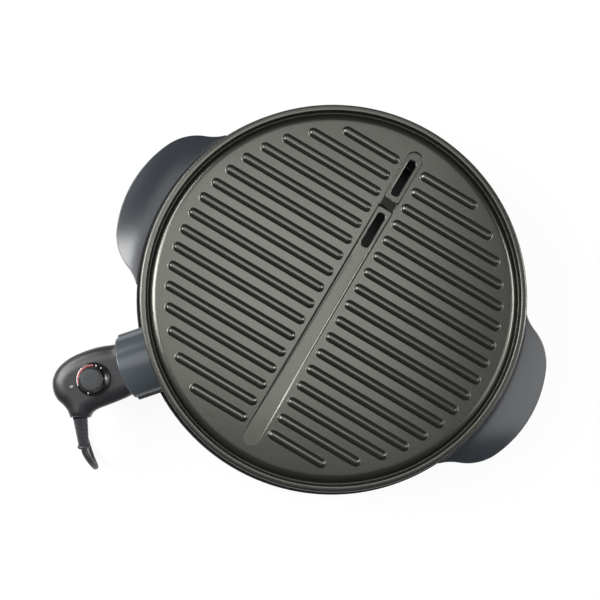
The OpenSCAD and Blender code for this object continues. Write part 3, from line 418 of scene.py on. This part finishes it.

# %% [markdown]
# ## The cord
# The mains lead leaves the drooping strain relief, turns back under the heat control and is put away
# in a tied hank below it. It is one curve: the lead through its listed points, then the hank's loops by
# formula, then the short tail that climbs to the plug. A bevel gives it the lead's round section.

# %% Cord
lead_points = [(336, 73.5, 58.6), (336.8, 78, 57.6), (336.5, 84, 55.5), (335.8, 91, 51), (335.6, 97, 44),
               (336.5, 100.5, 35.5), (338.5, 100.5, 26.5), (341, 96.5, 18.5), (343.2, 90, 12), (344.6, 81.5, 7.6),
               (345, 72, 5.4), (345, 62, 5), (345, 52, 5), (343, 40.5, 5), (336.4, 30.4, 5), (326.5, 23.7, 5),
               (315, 21.5, 5), (302, 21.5, 5), (289, 21.5, 5)]
tail_points = [(227, -21.5, 20.2), (234, -21.5, 20.2), (241, -20.6, 21.4), (248, -18.2, 24.4), (255, -15, 28.4),
               (262, -12.8, 31.6), (269, -12, 33.4), (276, -12, 33.6)]
HANK_X, HANK_Z, HANK_LOOPS, HANK_STEPS = 258, 5, 2.5, 48
HANK_R, HANK_RUN, HANK_PINCH, HANK_PITCH = 21.5, 62, 7, 7.6
LEAD_R = 3.5


def waist(x):
    """Half the hank's width at x from its middle, drawn in where it is tied."""
    return HANK_R - HANK_PINCH * (1 + math.cos(2 * math.pi * x / HANK_RUN)) / 2


def hank_point(t):
    """A point of the hank after t loops: two runs drawn in at the waist and two round ends."""
    k = math.floor(t + 1e-6)
    s, half = t - k, HANK_RUN / 2
    if s < 0.25:
        x, climb = half - 4 * s * HANK_RUN, 0
        y = waist(x)
    elif s < 0.5:
        a = math.pi / 2 + (s - 0.25) * 4 * math.pi
        x, y, climb = -half + HANK_R * math.cos(a), HANK_R * math.sin(a), 0
    elif s < 0.75:
        u = 4 * (s - 0.5)
        x, climb = -half + u * HANK_RUN, u * u * (3 - 2 * u)
        y = -waist(x)
    else:
        a = -math.pi / 2 + (s - 0.75) * 4 * math.pi
        x, y, climb = half + HANK_R * math.cos(a), HANK_R * math.sin(a), 1
    return Vector((HANK_X + x, y, HANK_Z + (k + climb) * HANK_PITCH))


route = smooth_curve(lead_points, 4)[:-1]
route += [hank_point(i / HANK_STEPS) for i in range(int(HANK_LOOPS * HANK_STEPS))]
route += smooth_curve(tail_points, 4)
route = [place(heat(*p)) for p in route]

curve = bpy.data.curves.new("mains_lead", "CURVE")
curve.dimensions = "3D"
curve.bevel_depth = LEAD_R * MM
curve.bevel_resolution = 6
line = curve.splines.new("POLY")
line.points.add(len(route) - 1)
for point, where_to in zip(line.points, route):
    point.co = (*where_to, 1)
line.use_smooth = True
curve.use_fill_caps = True
curve.materials.append(soft_pvc)
mains_lead = bpy.data.objects.new("mains_lead", curve)
bpy.context.scene.collection.objects.link(mains_lead)
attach(mains_lead, "heat_control")
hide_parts("cord_lead", "cord_hank", "cord_tail")

# %% [markdown]
# ## The cast plate: body
# The casting is a turned disc: a flat lip, a gutter inside it, a round shoulder and the flat cooking
# surface, with a skirt below. The profile runs from the middle of the underside, round the lip, to
# the middle of the top.

# %% Plate profile
PLATE_R, LIP_IN_R, PLATEAU_R = 222.25, 215.1, 203.05
LIP_Z, PLATEAU_Z, UNDER_Z, SKIRT_Z = 105.0, 100.0, 94.0, 75.0
SHOULDER_R, SHOULDER_FALL, GUTTER_R = 12.5, 56, 0.8
LIP_CROWN, LIP_OUTER_EDGE, LIP_INNER_EDGE = 0.12, 2.6, 1.2
shoulder_end = math.radians(90 - SHOULDER_FALL)
gutter_x = PLATEAU_R + (SHOULDER_R + GUTTER_R) * math.cos(shoulder_end)
gutter_z = PLATEAU_Z - SHOULDER_R + (SHOULDER_R + GUTTER_R) * math.sin(shoulder_end)
plate_profile = [(3, UNDER_Z), (LIP_IN_R - 16, UNDER_Z), (LIP_IN_R - 14.6, UNDER_Z - 1.4)]
plate_profile += [(LIP_IN_R - 12, SKIRT_Z + 1), (LIP_IN_R - 10.5, SKIRT_Z), (LIP_IN_R - 6, SKIRT_Z)]
plate_profile += [(PLATE_R - 3.6, LIP_Z - 6.4)]
plate_profile += arc(PLATE_R - LIP_OUTER_EDGE, LIP_Z - LIP_CROWN - LIP_OUTER_EDGE, LIP_OUTER_EDGE, -50, 84, 12)
plate_profile += [((PLATE_R + LIP_IN_R) / 2 - 0.7, LIP_Z)]
plate_profile += arc(LIP_IN_R + LIP_INNER_EDGE, LIP_Z - LIP_CROWN - LIP_INNER_EDGE, LIP_INNER_EDGE, 94, 172, 6)
plate_profile += arc(gutter_x, gutter_z, GUTTER_R, -8, -90 - SHOULDER_FALL, 9)
plate_profile += arc(PLATEAU_R, PLATEAU_Z - SHOULDER_R, SHOULDER_R, 90 - SHOULDER_FALL, 90, 14)[1:]
plate_profile += [(PLATEAU_R - 3, PLATEAU_Z), (PLATEAU_R - 6, PLATEAU_Z)]
casting = loft("grill_casting", turned(plate_profile, 256))
print("casting is", 2 * PLATE_R, "mm across")

# %% [markdown]
# ## The cast plate: channel and slots
# A channel falls from nothing at the front to its full depth at the rear, and two slots let the fat
# out of it, with a bridge between them. The cutter is a lofted trough: its loops follow the channel's
# outline, narrower and deeper by turns, with a small rounding at the top edge and a larger one below.
# Under the plate a keel thickens the casting again where the channel takes its depth.

# %% Channel cutter
CHANNEL_W, CHANNEL_DEPTH, CHANNEL_END, TROUGH_R = 20.0, 8.0, 194.05, 4.5
REAR_SLOT_Y, FRONT_SLOT_Y, SLOT_W, SLOT_L, SLOT_CORNER, REAR_SLOT_EXTRA = 159.55, 90.55, 10.0, 43.5, 4.0, 2.4
BRIDGE_Y = (REAR_SLOT_Y + FRONT_SLOT_Y) / 2
BRIDGE_L, BRIDGE_RAMP, BRIDGE_DROP = 9.0, 3.2, 0.6
BRIDGE_STEPS = (0, 3, 4.5, 5, 5.5, 6, 6.5, 7, 7.4, 7.7, 9)


def channel_drop(y):
    """How far the channel's floor lies below the cooking surface at y."""
    fall = max(0.12, CHANNEL_DEPTH / 2 * (1 + y / CHANNEL_END))
    rise = min(1.0, max(0.0, (abs(y - BRIDGE_Y) - BRIDGE_L / 2) / BRIDGE_RAMP))
    rise = rise * rise * (3 - 2 * rise)
    return BRIDGE_DROP + (fall - BRIDGE_DROP) * rise if abs(y - BRIDGE_Y) < 14 else fall


def trough_level(step, drop):
    """Offset from the outline and height at a step from 0, the floor, to 1, the top edge."""
    edge = min(0.5, drop / 2)
    lean = math.acos(max(0.0, 1 - (drop - edge) / TROUGH_R))
    if step <= 0.5:
        a = 2 * step * lean
        return TROUGH_R * (math.sin(a) - math.sin(lean)), TROUGH_R * (1 - math.cos(a)) - drop
    a = math.radians(180 * (step - 0.5))
    return edge * (1 - math.cos(a)), -edge * (1 - math.sin(a))


def channel_loop(step):
    """The channel's outline at a step of the trough, each point at the depth that belongs to it."""
    w = CHANNEL_W / 2
    ys = {CHANNEL_END - w - 6 * i for i in range(63)} | {BRIDGE_Y + s * d for s in (-1, 1) for d in BRIDGE_STEPS}
    ys = [y for y in sorted(ys) if y > -CHANNEL_END + w]
    rear = [(math.cos(a), math.sin(a)) for a in (math.pi * i / 20 for i in range(1, 20))]
    front = [(-math.cos(a), -math.sin(a)) for a in (math.pi * i / 12 for i in range(1, 12))]
    outline = [(w, y, 1, 0) for y in ys]
    outline += [(w * nx, CHANNEL_END - w + w * ny, nx, ny) for nx, ny in rear]
    outline += [(-w, y, -1, 0) for y in reversed(ys)]
    outline += [(w * nx, -CHANNEL_END + w + w * ny, nx, ny) for nx, ny in front]
    loop = []
    for x, y, nx, ny in outline:
        out, z = trough_level(step, channel_drop(y))
        loop.append((x + nx * out, y + ny * out, PLATEAU_Z + z))
    return loop


trough_steps = [0, 0.08, 0.17, 0.25, 0.33, 0.42, 0.5, 0.5001, 0.58, 0.67, 0.75, 0.83, 0.92, 1.0]
trough = [channel_loop(step) for step in trough_steps]
trough.append([(x, y, PLATEAU_Z + 8) for x, y, z in trough[-1]])
casting = cut(casting, loft("channel_cutter", trough))
print("channel cut,", len(casting.data.polygons), "faces")


# %% Slot cutters and the keel
# A slot's rounded edge, as how much wider it is at some depths below the channel's floor.
SLOT_EDGE = ((1.1, 0.0), (0.55, 0.18), (0.18, 0.55), (0, 1.1), (0, 40))
KEEL_YS = (8, 30, 60, 90, 120, 150)
KEEL_END_Y = 190


def slot_ring(y0, length, out):
    """A slot's round-cornered outline, moved outwards."""
    w, l, r = SLOT_W / 2 + out, length / 2 + out, SLOT_CORNER + out
    corners = [(w - r, l - r, 0), (r - w, l - r, 90), (r - w, r - l, 180), (w - r, r - l, 270)]
    return [(x, y + y0) for cx, cy, a in corners for x, y in arc(cx, cy, r, a, a + 90, 6)]


def slot_cutter(y0, length):
    """A slot's cutter, flared a little where it meets the channel's floor."""
    loops = [[(x, y, PLATEAU_Z + 14) for x, y in slot_ring(y0, length, SLOT_EDGE[0][0])]]
    for out, below in SLOT_EDGE:
        loops.append([(x, y, PLATEAU_Z - channel_drop(y) - below) for x, y in slot_ring(y0, length, out)])
    return loft("slot_cutter", list(reversed(loops)))


def keel_loop(width, step):
    """The keel's outline at half its width, step below the channel's floor, or inside the plate at 0."""
    ring = arc(0, CHANNEL_END - 10, width, 0, 180, 16)
    ring += [(-width, y) for y in reversed(KEEL_YS)] + [(width, y) for y in KEEL_YS]
    if not step:
        return [(x, y, UNDER_Z + 1) for x, y in ring]
    return [(x, y, PLATEAU_Z - CHANNEL_DEPTH / 2 * (1 + min(y, KEEL_END_Y) / CHANNEL_END) - step) for x, y in ring]


keel = loft("keel", [keel_loop(*row) for row in ((13.0, 5.8), (14.4, 5.3), (15.0, 4.2), (15.0, 0.0))])
for slot in ((FRONT_SLOT_Y, SLOT_L), (REAR_SLOT_Y + REAR_SLOT_EXTRA / 2, SLOT_L + REAR_SLOT_EXTRA)):
    casting = cut(casting, slot_cutter(*slot))
    keel = cut(keel, slot_cutter(*slot))
print("slots cut")

# %% [markdown]
# ## The cast plate: ribs
# Seventeen rows of ribs stand on each side of the channel. A rib is a bar with a nearly flat crown,
# rounded sides, ball ends and a small fillet at its foot. Its loops are all the same stadium shape,
# wide at the foot and narrow at the top, so the ends come out as balls by themselves. All rows lie
# RIB_SHIFT further to the rear than the solids' rows.

# %% Ribs
RIB_ROWS, RIB_PITCH, RIB_START, RIB_REACH, RIB_SHIFT = 17, 21.5, 14.8, 193.7, 1.4
RIB_HALF, RIB_H, RIB_SIDE_R, RIB_CROWN_R, FOOT_FILLET = 5.3, 4.7, 3.2, 8.6, 1.3
foot_x = RIB_HALF + FOOT_FILLET * 0.62
rib_section = [(RIB_HALF, -1.5), (foot_x + 0.15, -0.03)]
rib_section += arc(foot_x, FOOT_FILLET, FOOT_FILLET, -90, -168, 4)
rib_section += arc(RIB_HALF - RIB_SIDE_R - 0.15, RIB_H - RIB_SIDE_R - 0.8, RIB_SIDE_R, 14, 66, 6)
rib_section += arc(0, RIB_H - RIB_CROWN_R, RIB_CROWN_R, 74, 88, 4)


def rib(x0, x1, y):
    """Loops of one rib lying along x between the middles of its ball ends."""
    loops = []
    for half, z in rib_section:
        ring = arc(x1, y + RIB_SHIFT, half, -90, 90, 10) + arc(x0, y + RIB_SHIFT, half, 90, 270, 10)
        loops.append([(px, py, PLATEAU_Z + z) for px, py in ring])
    return loops


ribs = []
for row in range(RIB_ROWS):
    y = (row - (RIB_ROWS - 1) / 2) * RIB_PITCH
    tip = math.sqrt(RIB_REACH ** 2 - y ** 2) - RIB_HALF
    for x0, x1 in ((RIB_START + RIB_HALF, tip), (-tip, -RIB_START - RIB_HALF)):
        ribs.append(loft("rib", rib(x0, x1, y)))
print(len(ribs), "ribs")

# %% [markdown]
# ## The cast plate: underside
# Bosses carry the element's clips and the terminal bracket, four pads sit on the base's posts, and a
# block holds the tip of the heat control's rod. They show when the plate is lifted off.

# %% Bosses under the plate
def post(x, y, radius, low, high):
    """A round boss with a small chamfer at its free end."""
    return loft("boss", [[(x + px, y + py, z) for px, py in arc(0, 0, r, 0, 345, 23)]
                         for r, z in ((radius - 0.6, low), (radius, low + 0.6), (radius, high))])


def turned_by(degrees, x, y=0.0):
    """A point turned round the plate's axis."""
    a = math.radians(degrees)
    return x * math.cos(a) - y * math.sin(a), x * math.sin(a) + y * math.cos(a)


CLIP_FACE_Z, BOSS_ROOT_Z, BORE_R = UNDER_Z - 3.0, UNDER_Z + 1, 3.15
bosses = [post(*turned_by(a, 178), 8.5, 78.3, BOSS_ROOT_Z) for a in (30, 150, 210, 330)]
bosses += [post(*turned_by(a, 140 + s * 13), 4.5, CLIP_FACE_Z, BOSS_ROOT_Z)
           for a in (150, 200, 290, 20) for s in (-1, 1)]
bosses += [post(*turned_by(HEAT_DEGREES, 188, s * 25), 6, 80.6, BOSS_ROOT_Z) for s in (-1, 1)]
block_ring = [(172, -7), (200, -7), (200, 7), (172, 7)]
block = loft("rod_block", [[heat(x, y, z) for x, y in block_ring] for z in (59, BOSS_ROOT_Z)])
bore = loft("bore", [[heat(x, BORE_R * math.cos(a), CONTROL_Z + BORE_R * math.sin(a)) for a in angles(24)]
                     for x in (177, 210)])
block = cut(block, bore)
gap_ring = [(200, -40), (240, -40), (240, 40), (200, 40)]
casting = cut(casting, loft("skirt_gap", [[heat(x, y, z) for x, y in gap_ring] for z in (70, 91.5)]))
casting = joined(casting, keel, block, *ribs, *bosses)
finished(casting, coating, "plate", ("grill_plate",), 40)

# %% [markdown]
# ## The wing handles
# Each wing follows a large outer arc with round shoulders and hollow corners where it meets the rim.
# Its top falls outwards, more and more, and rolls over at the edge, so that the light slides over it
# softly. The sections are radial: from the rim outwards, over the edge, down, and back along the
# hollow underside.

# %% Wing outline
RIM_R, RIM_GAP, WING_TOP, WING_H = 234.0, 0.3, 56.4, 14.0
WING_MIDDLE, WING_R, WING_HALF_ARC, WING_SHOULDER_R, WING_FILLET_R = 138.7, 141.0, 25, 62.0, 62.0


def wing_outline():
    """The wing's outer edge, from one end at the rim to the other, in millimetres."""
    a = math.radians(WING_HALF_ARC)
    to_shoulder = WING_R - WING_SHOULDER_R
    c1 = Vector((WING_MIDDLE + to_shoulder * math.cos(a), to_shoulder * math.sin(a)))
    reach = RIM_R - 2 + WING_FILLET_R
    both = WING_SHOULDER_R + WING_FILLET_R
    turn = math.atan2(c1.y, c1.x) + math.acos((c1.length ** 2 + reach ** 2 - both ** 2) / (2 * c1.length * reach))
    c2 = Vector((reach * math.cos(turn), reach * math.sin(turn)))
    into = math.degrees(math.atan2(c2.y - c1.y, c2.x - c1.x))
    half = arc(WING_MIDDLE, 0, WING_R, 0, WING_HALF_ARC, 14)
    half += arc(c1.x, c1.y, WING_SHOULDER_R, WING_HALF_ARC + 1.5, into, 22)
    half += arc(c2.x, c2.y, WING_FILLET_R, into + 178, math.degrees(turn) + 180, 26)
    half = [p for p in half if math.hypot(*p) > RIM_R + 0.55]
    return [(x, -y) for x, y in reversed(half[1:])] + half


outline = wing_outline()
print("wing reaches", max(x for x, y in outline), "mm from the axis")


# %% Wings
def wing_fall(s):
    """How far the wing's top has fallen at s from the rim."""
    return 0.09 * s + 0.0018 * s * s


def wing_section(width):
    """Distance from the rim and height of each point of a radial section, as a closed loop."""
    roll = min(1.8, width * 0.45)
    edge = min(0.7, width * 0.3)
    thick = min(3.0, width * 0.3)
    flat = [edge + (width - roll - edge) * i / 9 for i in range(10)]
    top = [(s, -wing_fall(s)) for s in flat]
    base = wing_fall(width - roll)
    turn = [math.radians(10 * i) for i in range(1, 10)]
    rolled = [(width - roll + roll * math.sin(a), -base - roll * 0.85 * (1 - math.cos(a))) for a in turn]
    outer = [(width, -WING_H + 0.5), (width - 0.5, -WING_H)]
    outer += [(width - thick + 0.4, -WING_H), (width - thick, -WING_H + 0.5)]
    inner = [(width - thick, -wing_fall(width - thick) - 3.4), (width / 2, -wing_fall(width / 2) - 3.1)]
    inner += [(thick + 1, -3.6 - wing_fall(thick)), (thick, -4.6)]
    back = [(thick, -WING_H + 0.5), (0.0, -WING_H + 0.5), (0.0, -edge), (edge * 0.3, -edge * 0.3)]
    return [(s, WING_TOP + z) for s, z in top + rolled + outer + inner + back]


def wing(name, side, node):
    """One wing: side is 1 for the right one and -1 for the left one."""
    loops = []
    start = RIM_R + RIM_GAP
    for x, y in outline:
        reach = math.hypot(x, y)
        ux, uy = side * x / reach, y / reach
        loops.append([(ux * (start + s), uy * (start + s), z) for s, z in wing_section(reach - start)])
    return finished(loft(name, loops), slate_abs, "base", (node,), 38)


right_wing = wing("right_wing", 1, "right_handle")
left_wing = wing("left_wing", -1, "left_handle")

# %% [markdown]
# ## The shroud over the connection
# An arched cover with flanged sides stands over the place where the heat control plugs in. Its outer
# end is a shallow curve seen from above, and that edge is rounded, so it carries one bright line. The
# arch is a loft of one section, drawn in at the end for the rounding, less a plainer section one wall
# smaller. The back wall keeps its holes for the pins, the rod and the two screws.

# %% Shroud
SHROUD_W, FLANGE_W, SHROUD_IN, SHROUD_OUT, SHROUD_END_R, SHROUD_WALL = 36.6, 40.6, 215.0, 262.0, 150.0, 3.0
SHROUD_FOOT, HOLLOW_FOOT, FLANGE_Z, ARCH_Z, ARCH_TOP, END_ROUND = 44.0, 38.0, 60.0, 74.0, 90.0, 1.8
PIN_Y, SHROUD_SCREW_Y, SHROUD_SCREW_Z = 12.7, 28, 56


def shroud_half(inset, flanged):
    """Right half of the shroud's section as (half width, height), from its foot to its crown."""
    w, f, top = SHROUD_W - inset, FLANGE_W - inset, ARCH_TOP - inset
    rise = ARCH_TOP - ARCH_Z
    r = (w * w + rise * rise) / (2 * rise)
    slope = math.degrees(math.asin(w / r))
    half = [(w, HOLLOW_FOOT)]
    if flanged:
        half = [(f, SHROUD_FOOT), (f, FLANGE_Z - inset - 0.6), (f - 0.6, FLANGE_Z - inset)]
        half += [(w + 0.5, FLANGE_Z - inset), (w, FLANGE_Z - inset + 0.5)]
    half += [(w, top - rise - 3.0), (w - 0.5, top - rise - 0.9), (w - 1.8, top - rise + 1.2)]
    return half + arc(0, top - r, r, 90 - slope * 0.88, 90, 12)


def shroud_loop(inset, flanged, x_of):
    """A closed loop of the whole section; x_of gives the distance out from the plate's axis."""
    half = shroud_half(inset, flanged)
    ring = half + [(-y, z) for y, z in reversed(half[:-1])]
    return [heat(x_of(y), y, z) for y, z in ring]


def flat_end(x):
    """A plain end at one distance from the plate's axis."""
    return lambda y: x


def curved_end(back):
    """The shroud's curved outer end, less back."""
    return lambda y: SHROUD_OUT - SHROUD_END_R + math.sqrt(SHROUD_END_R ** 2 - y * y) - back


def hole(y, z, radius):
    """A round cutter through the shroud's back wall."""
    return loft("hole", [[heat(x, y + radius * math.cos(a), z + radius * math.sin(a)) for a in angles(32)]
                         for x in (SHROUD_IN - 4, SHROUD_IN + 7)])


shell = [shroud_loop(0, True, flat_end(SHROUD_IN))]
for turn in range(0, 91, 15):
    a = math.radians(turn)
    shell.append(shroud_loop(END_ROUND * (1 - math.cos(a)), True, curved_end(END_ROUND * (1 - math.sin(a)))))
hollow = [shroud_loop(SHROUD_WALL, False, flat_end(x)) for x in (SHROUD_IN + SHROUD_WALL, SHROUD_OUT + 8)]
shroud = cut(loft("connection_shroud", shell), loft("hollow", hollow))
holes = [hole(-PIN_Y, CONTROL_Z, 5), hole(PIN_Y, CONTROL_Z, 5), hole(0, CONTROL_Z, 4.5)]
holes += [hole(y, SHROUD_SCREW_Z, 2) for y in (-SHROUD_SCREW_Y, SHROUD_SCREW_Y)]
shroud = cut(shroud, joined(*holes))
finished(shroud, shroud_abs, "plate", ("terminal_shroud",), 38)

# %% [markdown]
# ## The heat control's case
# Seen from above the case is a rounded bar with a neck that turns off towards the cord. Both halves
# rise in a soft dome. Each outline point moves towards its own point of a spine as the dome rises, so
# the outline shrinks without folding, even in the neck. At the end that plugs in the sides stay
# straight, and they give way to the dome over DOME_RUN millimetres.

# %% Case outline and spine
case_points = [(240, -30.2), (251, -30.4), (262, -31), (280, -34), (300, -34.3), (317, -32), (332, -25.7), (342, -15),
               (345.5, -3), (344.5, 8), (340, 17), (337, 25), (336.5, 34)]
case_spine = [(248, 0), (256, 0), (264, 0), (282, -2), (298, -2), (308, -1), (312, 0), (314, 1), (315, 2),
              (315, 3), (317, 7), (320, 16), (325, 31)]
neck_points = [(315.8, 41), (311, 37), (303, 34.8), (288, 34.2), (270, 33.2), (258, 31.6), (240, 30.7)]
neck_spine = [(325, 31), (319, 19), (308, 6), (292, 0), (272, 0), (260, 0), (248, 0)]
case_ring = smooth_curve(case_points, 5) + smooth_curve(neck_points, 5)
spine_ring = smooth_curve(case_spine, 5) + smooth_curve(neck_spine, 5)
DOME_FROM, DOME_RUN, DOME_IN, DOME_RISE, CASE_SIDE = 244, 20, 17, 9.6, 4.2


def case_loop(inset, level):
    """The case's outline drawn in by inset towards the spine, at a level from the parting line."""
    loop = []
    for p, s in zip(case_ring, spine_ring):
        away = (s - p).length
        share = min(inset / max(away, 1), 0.9) * min(1.0, max(0.0, (p.x - DOME_FROM) / DOME_RUN))
        q = p + (s - p) * share
        loop.append(heat(q.x, q.y, CONTROL_Z + level))
    return loop


dome = [(0.45, 0.15), (0.0, 0.6), (0.0, CASE_SIDE)]
dome += [(DOME_IN * (1 - math.cos(a)), CASE_SIDE + DOME_RISE * math.sin(a))
         for a in (math.radians(6 * i) for i in range(1, 16))]
upper = loft("case_top", [case_loop(d, z) for d, z in dome])
lower = loft("case_bottom", [case_loop(d, -z) for d, z in dome])
case = finished(joined(upper, lower), case_pbt, "heat_control",
                ("probe_upper_case", "probe_lower_case"))
case.name = "heat_control_case"

# %% [markdown]
# ## The dial
# The dial has a knurled skirt, a conical face that carries a printed heat band with plain marks, and
# a flat grey cap. The knurls are small flutes round the skirt. The print lies a hair above the face.

# %% Dial
DIAL_X, DIAL_Z, FLUTES = 295.0, 80.3, 48
FLUTE_SHAPE = (0, 0.75, 1.0, 0.75)
FACE_OUT_R, FACE_OUT_Z, FACE_IN_R, FACE_IN_Z = 18.9, 3.3, 14.7, 6.2


def dial_loop(radius, z, depth):
    """A round of the dial, with flutes of the given depth."""
    loop = []
    for k, t in enumerate(angles(FLUTES * 4)):
        r = radius - depth * FLUTE_SHAPE[k % 4]
        loop.append(heat(DIAL_X + r * math.cos(t), r * math.sin(t), DIAL_Z + z))
    return loop


dial_rows = [(18.8, 0.0, 0), (19.6, 0.1, 0.2), (20.0, 0.6, 0.5), (20.0, 2.2, 0.5), (19.6, 2.9, 0.3),
             (FACE_OUT_R, FACE_OUT_Z, 0), (18.0, 3.7, 0), (16.6, 4.6, 0), (15.2, 5.6, 0), (FACE_IN_R, FACE_IN_Z, 0),
             (14.4, 7.5, 0), (14.1, 10.1, 0), (13.8, 10.7, 0), (13.3, 11.0, 0), (12.9, 10.9, 0), (12.8, 9.6, 0)]
dial = loft("heat_dial", [dial_loop(*row) for row in dial_rows])
finished(dial, dial_abs, "dial", ("control_dial",))
cap_rows = [(12.6, 9.5), (12.6, 10.5), (12.3, 10.9), (11.6, 11.1), (6, 11.3)]
cap = loft("heat_dial_cap", [[heat(DIAL_X + r * math.cos(t), r * math.sin(t), DIAL_Z + z) for t in angles(96)]
                             for r, z in cap_rows])
finished(cap, cap_abs, "dial", ("dial_cap",))


def face_height(r):
    """Height of the dial's conical face at a radius, over its slightly hollow line."""
    steep = (FACE_IN_Z - FACE_OUT_Z) / (FACE_OUT_R - FACE_IN_R)
    return FACE_OUT_Z + (FACE_OUT_R - r) * steep * 0.86 + 0.25


def printed_band(name, r0, r1, start, end, ink):
    """A thin printed band on the dial's face, angles in the heat control's own frame."""
    steps = max(4, int(abs(end - start) / 4))
    ring = [(r1, math.radians(start + (end - start) * i / steps)) for i in range(steps + 1)]
    ring += [(r0, math.radians(end + (start - end) * i / steps)) for i in range(steps + 1)]
    loops = [[heat(DIAL_X + r * math.cos(a), r * math.sin(a), DIAL_Z + face_height(r) + above) for r, a in ring]
             for above in (-0.2, 0.12)]
    return finished(loft(name, loops), ink, "dial")


printed_band("heat_band_white", 17.5, 18.3, 6, -66, white_ink)
printed_band("heat_band_red", 15.9, 17.0, -4, -112, red_ink)
for number, (angle, span) in enumerate(((-124, 5), (-146, 4), (166, 7), (56, 5))):
    printed_band("heat_mark_%d" % number, 15.8, 17.2, angle - span / 2, angle + span / 2, white_ink)

# %% [markdown]
# ## The strain relief
# A tapered sleeve of soft PVC guards the cord where it leaves the neck. It hangs a little, because
# the cord pulls it down. Four shallow grooves ring it, where the soft sleeve flexes in use, and a bead closes its
# end.

# %% Strain relief
neck_mid = Vector((326.75, 37.0, CONTROL_Z))
bead_end = Vector((336.0, 73.5, CONTROL_Z))
droop = math.radians(12)
along_flat = (bead_end - neck_mid).normalized()
along = Vector((along_flat.x * math.cos(droop), along_flat.y * math.cos(droop), -math.sin(droop)))
across_one = along.cross(Vector((0, 0, 1))).normalized()
across_two = along.cross(across_one)
sleeve_length = (bead_end - neck_mid).length / math.cos(droop)
TAPER_FROM_R, TAPER_BY, BEAD_R = 8.4, 2.4, 2.2


def sleeve_loop(distance, radius):
    """A round of the sleeve at a distance along its axis."""
    middle = neck_mid + along * distance
    ring = [middle + across_one * radius * math.cos(t) + across_two * radius * math.sin(t) for t in angles(40)]
    return [heat(*p) for p in ring]


def taper(s):
    """The sleeve's radius at a distance from the neck."""
    return TAPER_FROM_R - TAPER_BY * s / (sleeve_length - 4)


sleeve_rows = [(-8, 4.4), (-0.2, 4.4), (0.1, 8.2), (0.4, 8.6), (1.8, 8.6), (2.2, 8.3)]
for start in (9.0, 14.0, 19.0, 24.0):
    sleeve_rows += [(start, taper(start)), (start + 0.3, taper(start) - 0.25)]
    sleeve_rows += [(start + 1.3, taper(start) - 0.3), (start + 1.6, taper(start + 1.6))]
sleeve_rows += [(sleeve_length - 4.6, taper(sleeve_length - 4.6))]
sleeve_rows += [(sleeve_length - 2.4 + 2.3 * math.sin(a), 5.3 + BEAD_R * math.cos(a))
                for a in (math.radians(x) for x in (-75, -50, -25, 0, 25, 50, 75))]
sleeve_rows += [(sleeve_length, 4.6), (sleeve_length - 0.4, 3.6)]
sleeve = loft("strain_sleeve", [sleeve_loop(*row) for row in sleeve_rows])
finished(sleeve, soft_pvc, "heat_control", ("strain_relief",))

# %% [markdown]
# ## Pieces that keep their CAD shape
# Screws, brackets, the bowl, the element, the tray and the rest are already right. They only get their
# real finishes.

# %% Finishes on the CAD nodes
finishes = {
    phenolic: ["base_shell"],
    rubber: ["rubber_feet", "rest_pads", "cord_tie"],
    soft_pvc: ["plug_body"],
    zinc: ["handle_screws", "shield_screws", "foot_screws", "clip_screws", "bracket_screws", "shroud_screws",
           "case_screws", "element_clips", "terminal_bracket", "thermostat_frame", "dial_shaft", "sensor_rod"],
    aluminised: ["heat_shield"],
    sheath: ["heating_element"],
    nickel: ["terminal_pins"],
    brass: ["contact_sleeves", "thermostat_blades", "plug_pins"],
    steatite: ["terminal_block", "cord_clamp"],
    enamel: ["drip_tray"],
    lens_pc: ["indicator_lens"],
}
painted = 0
for finish, names in finishes.items():
    for name in names:
        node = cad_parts[name]
        for slot in node.material_slots:
            slot.link = "OBJECT"
            slot.material = finish
        painted += 1
print(painted, "CAD nodes painted")
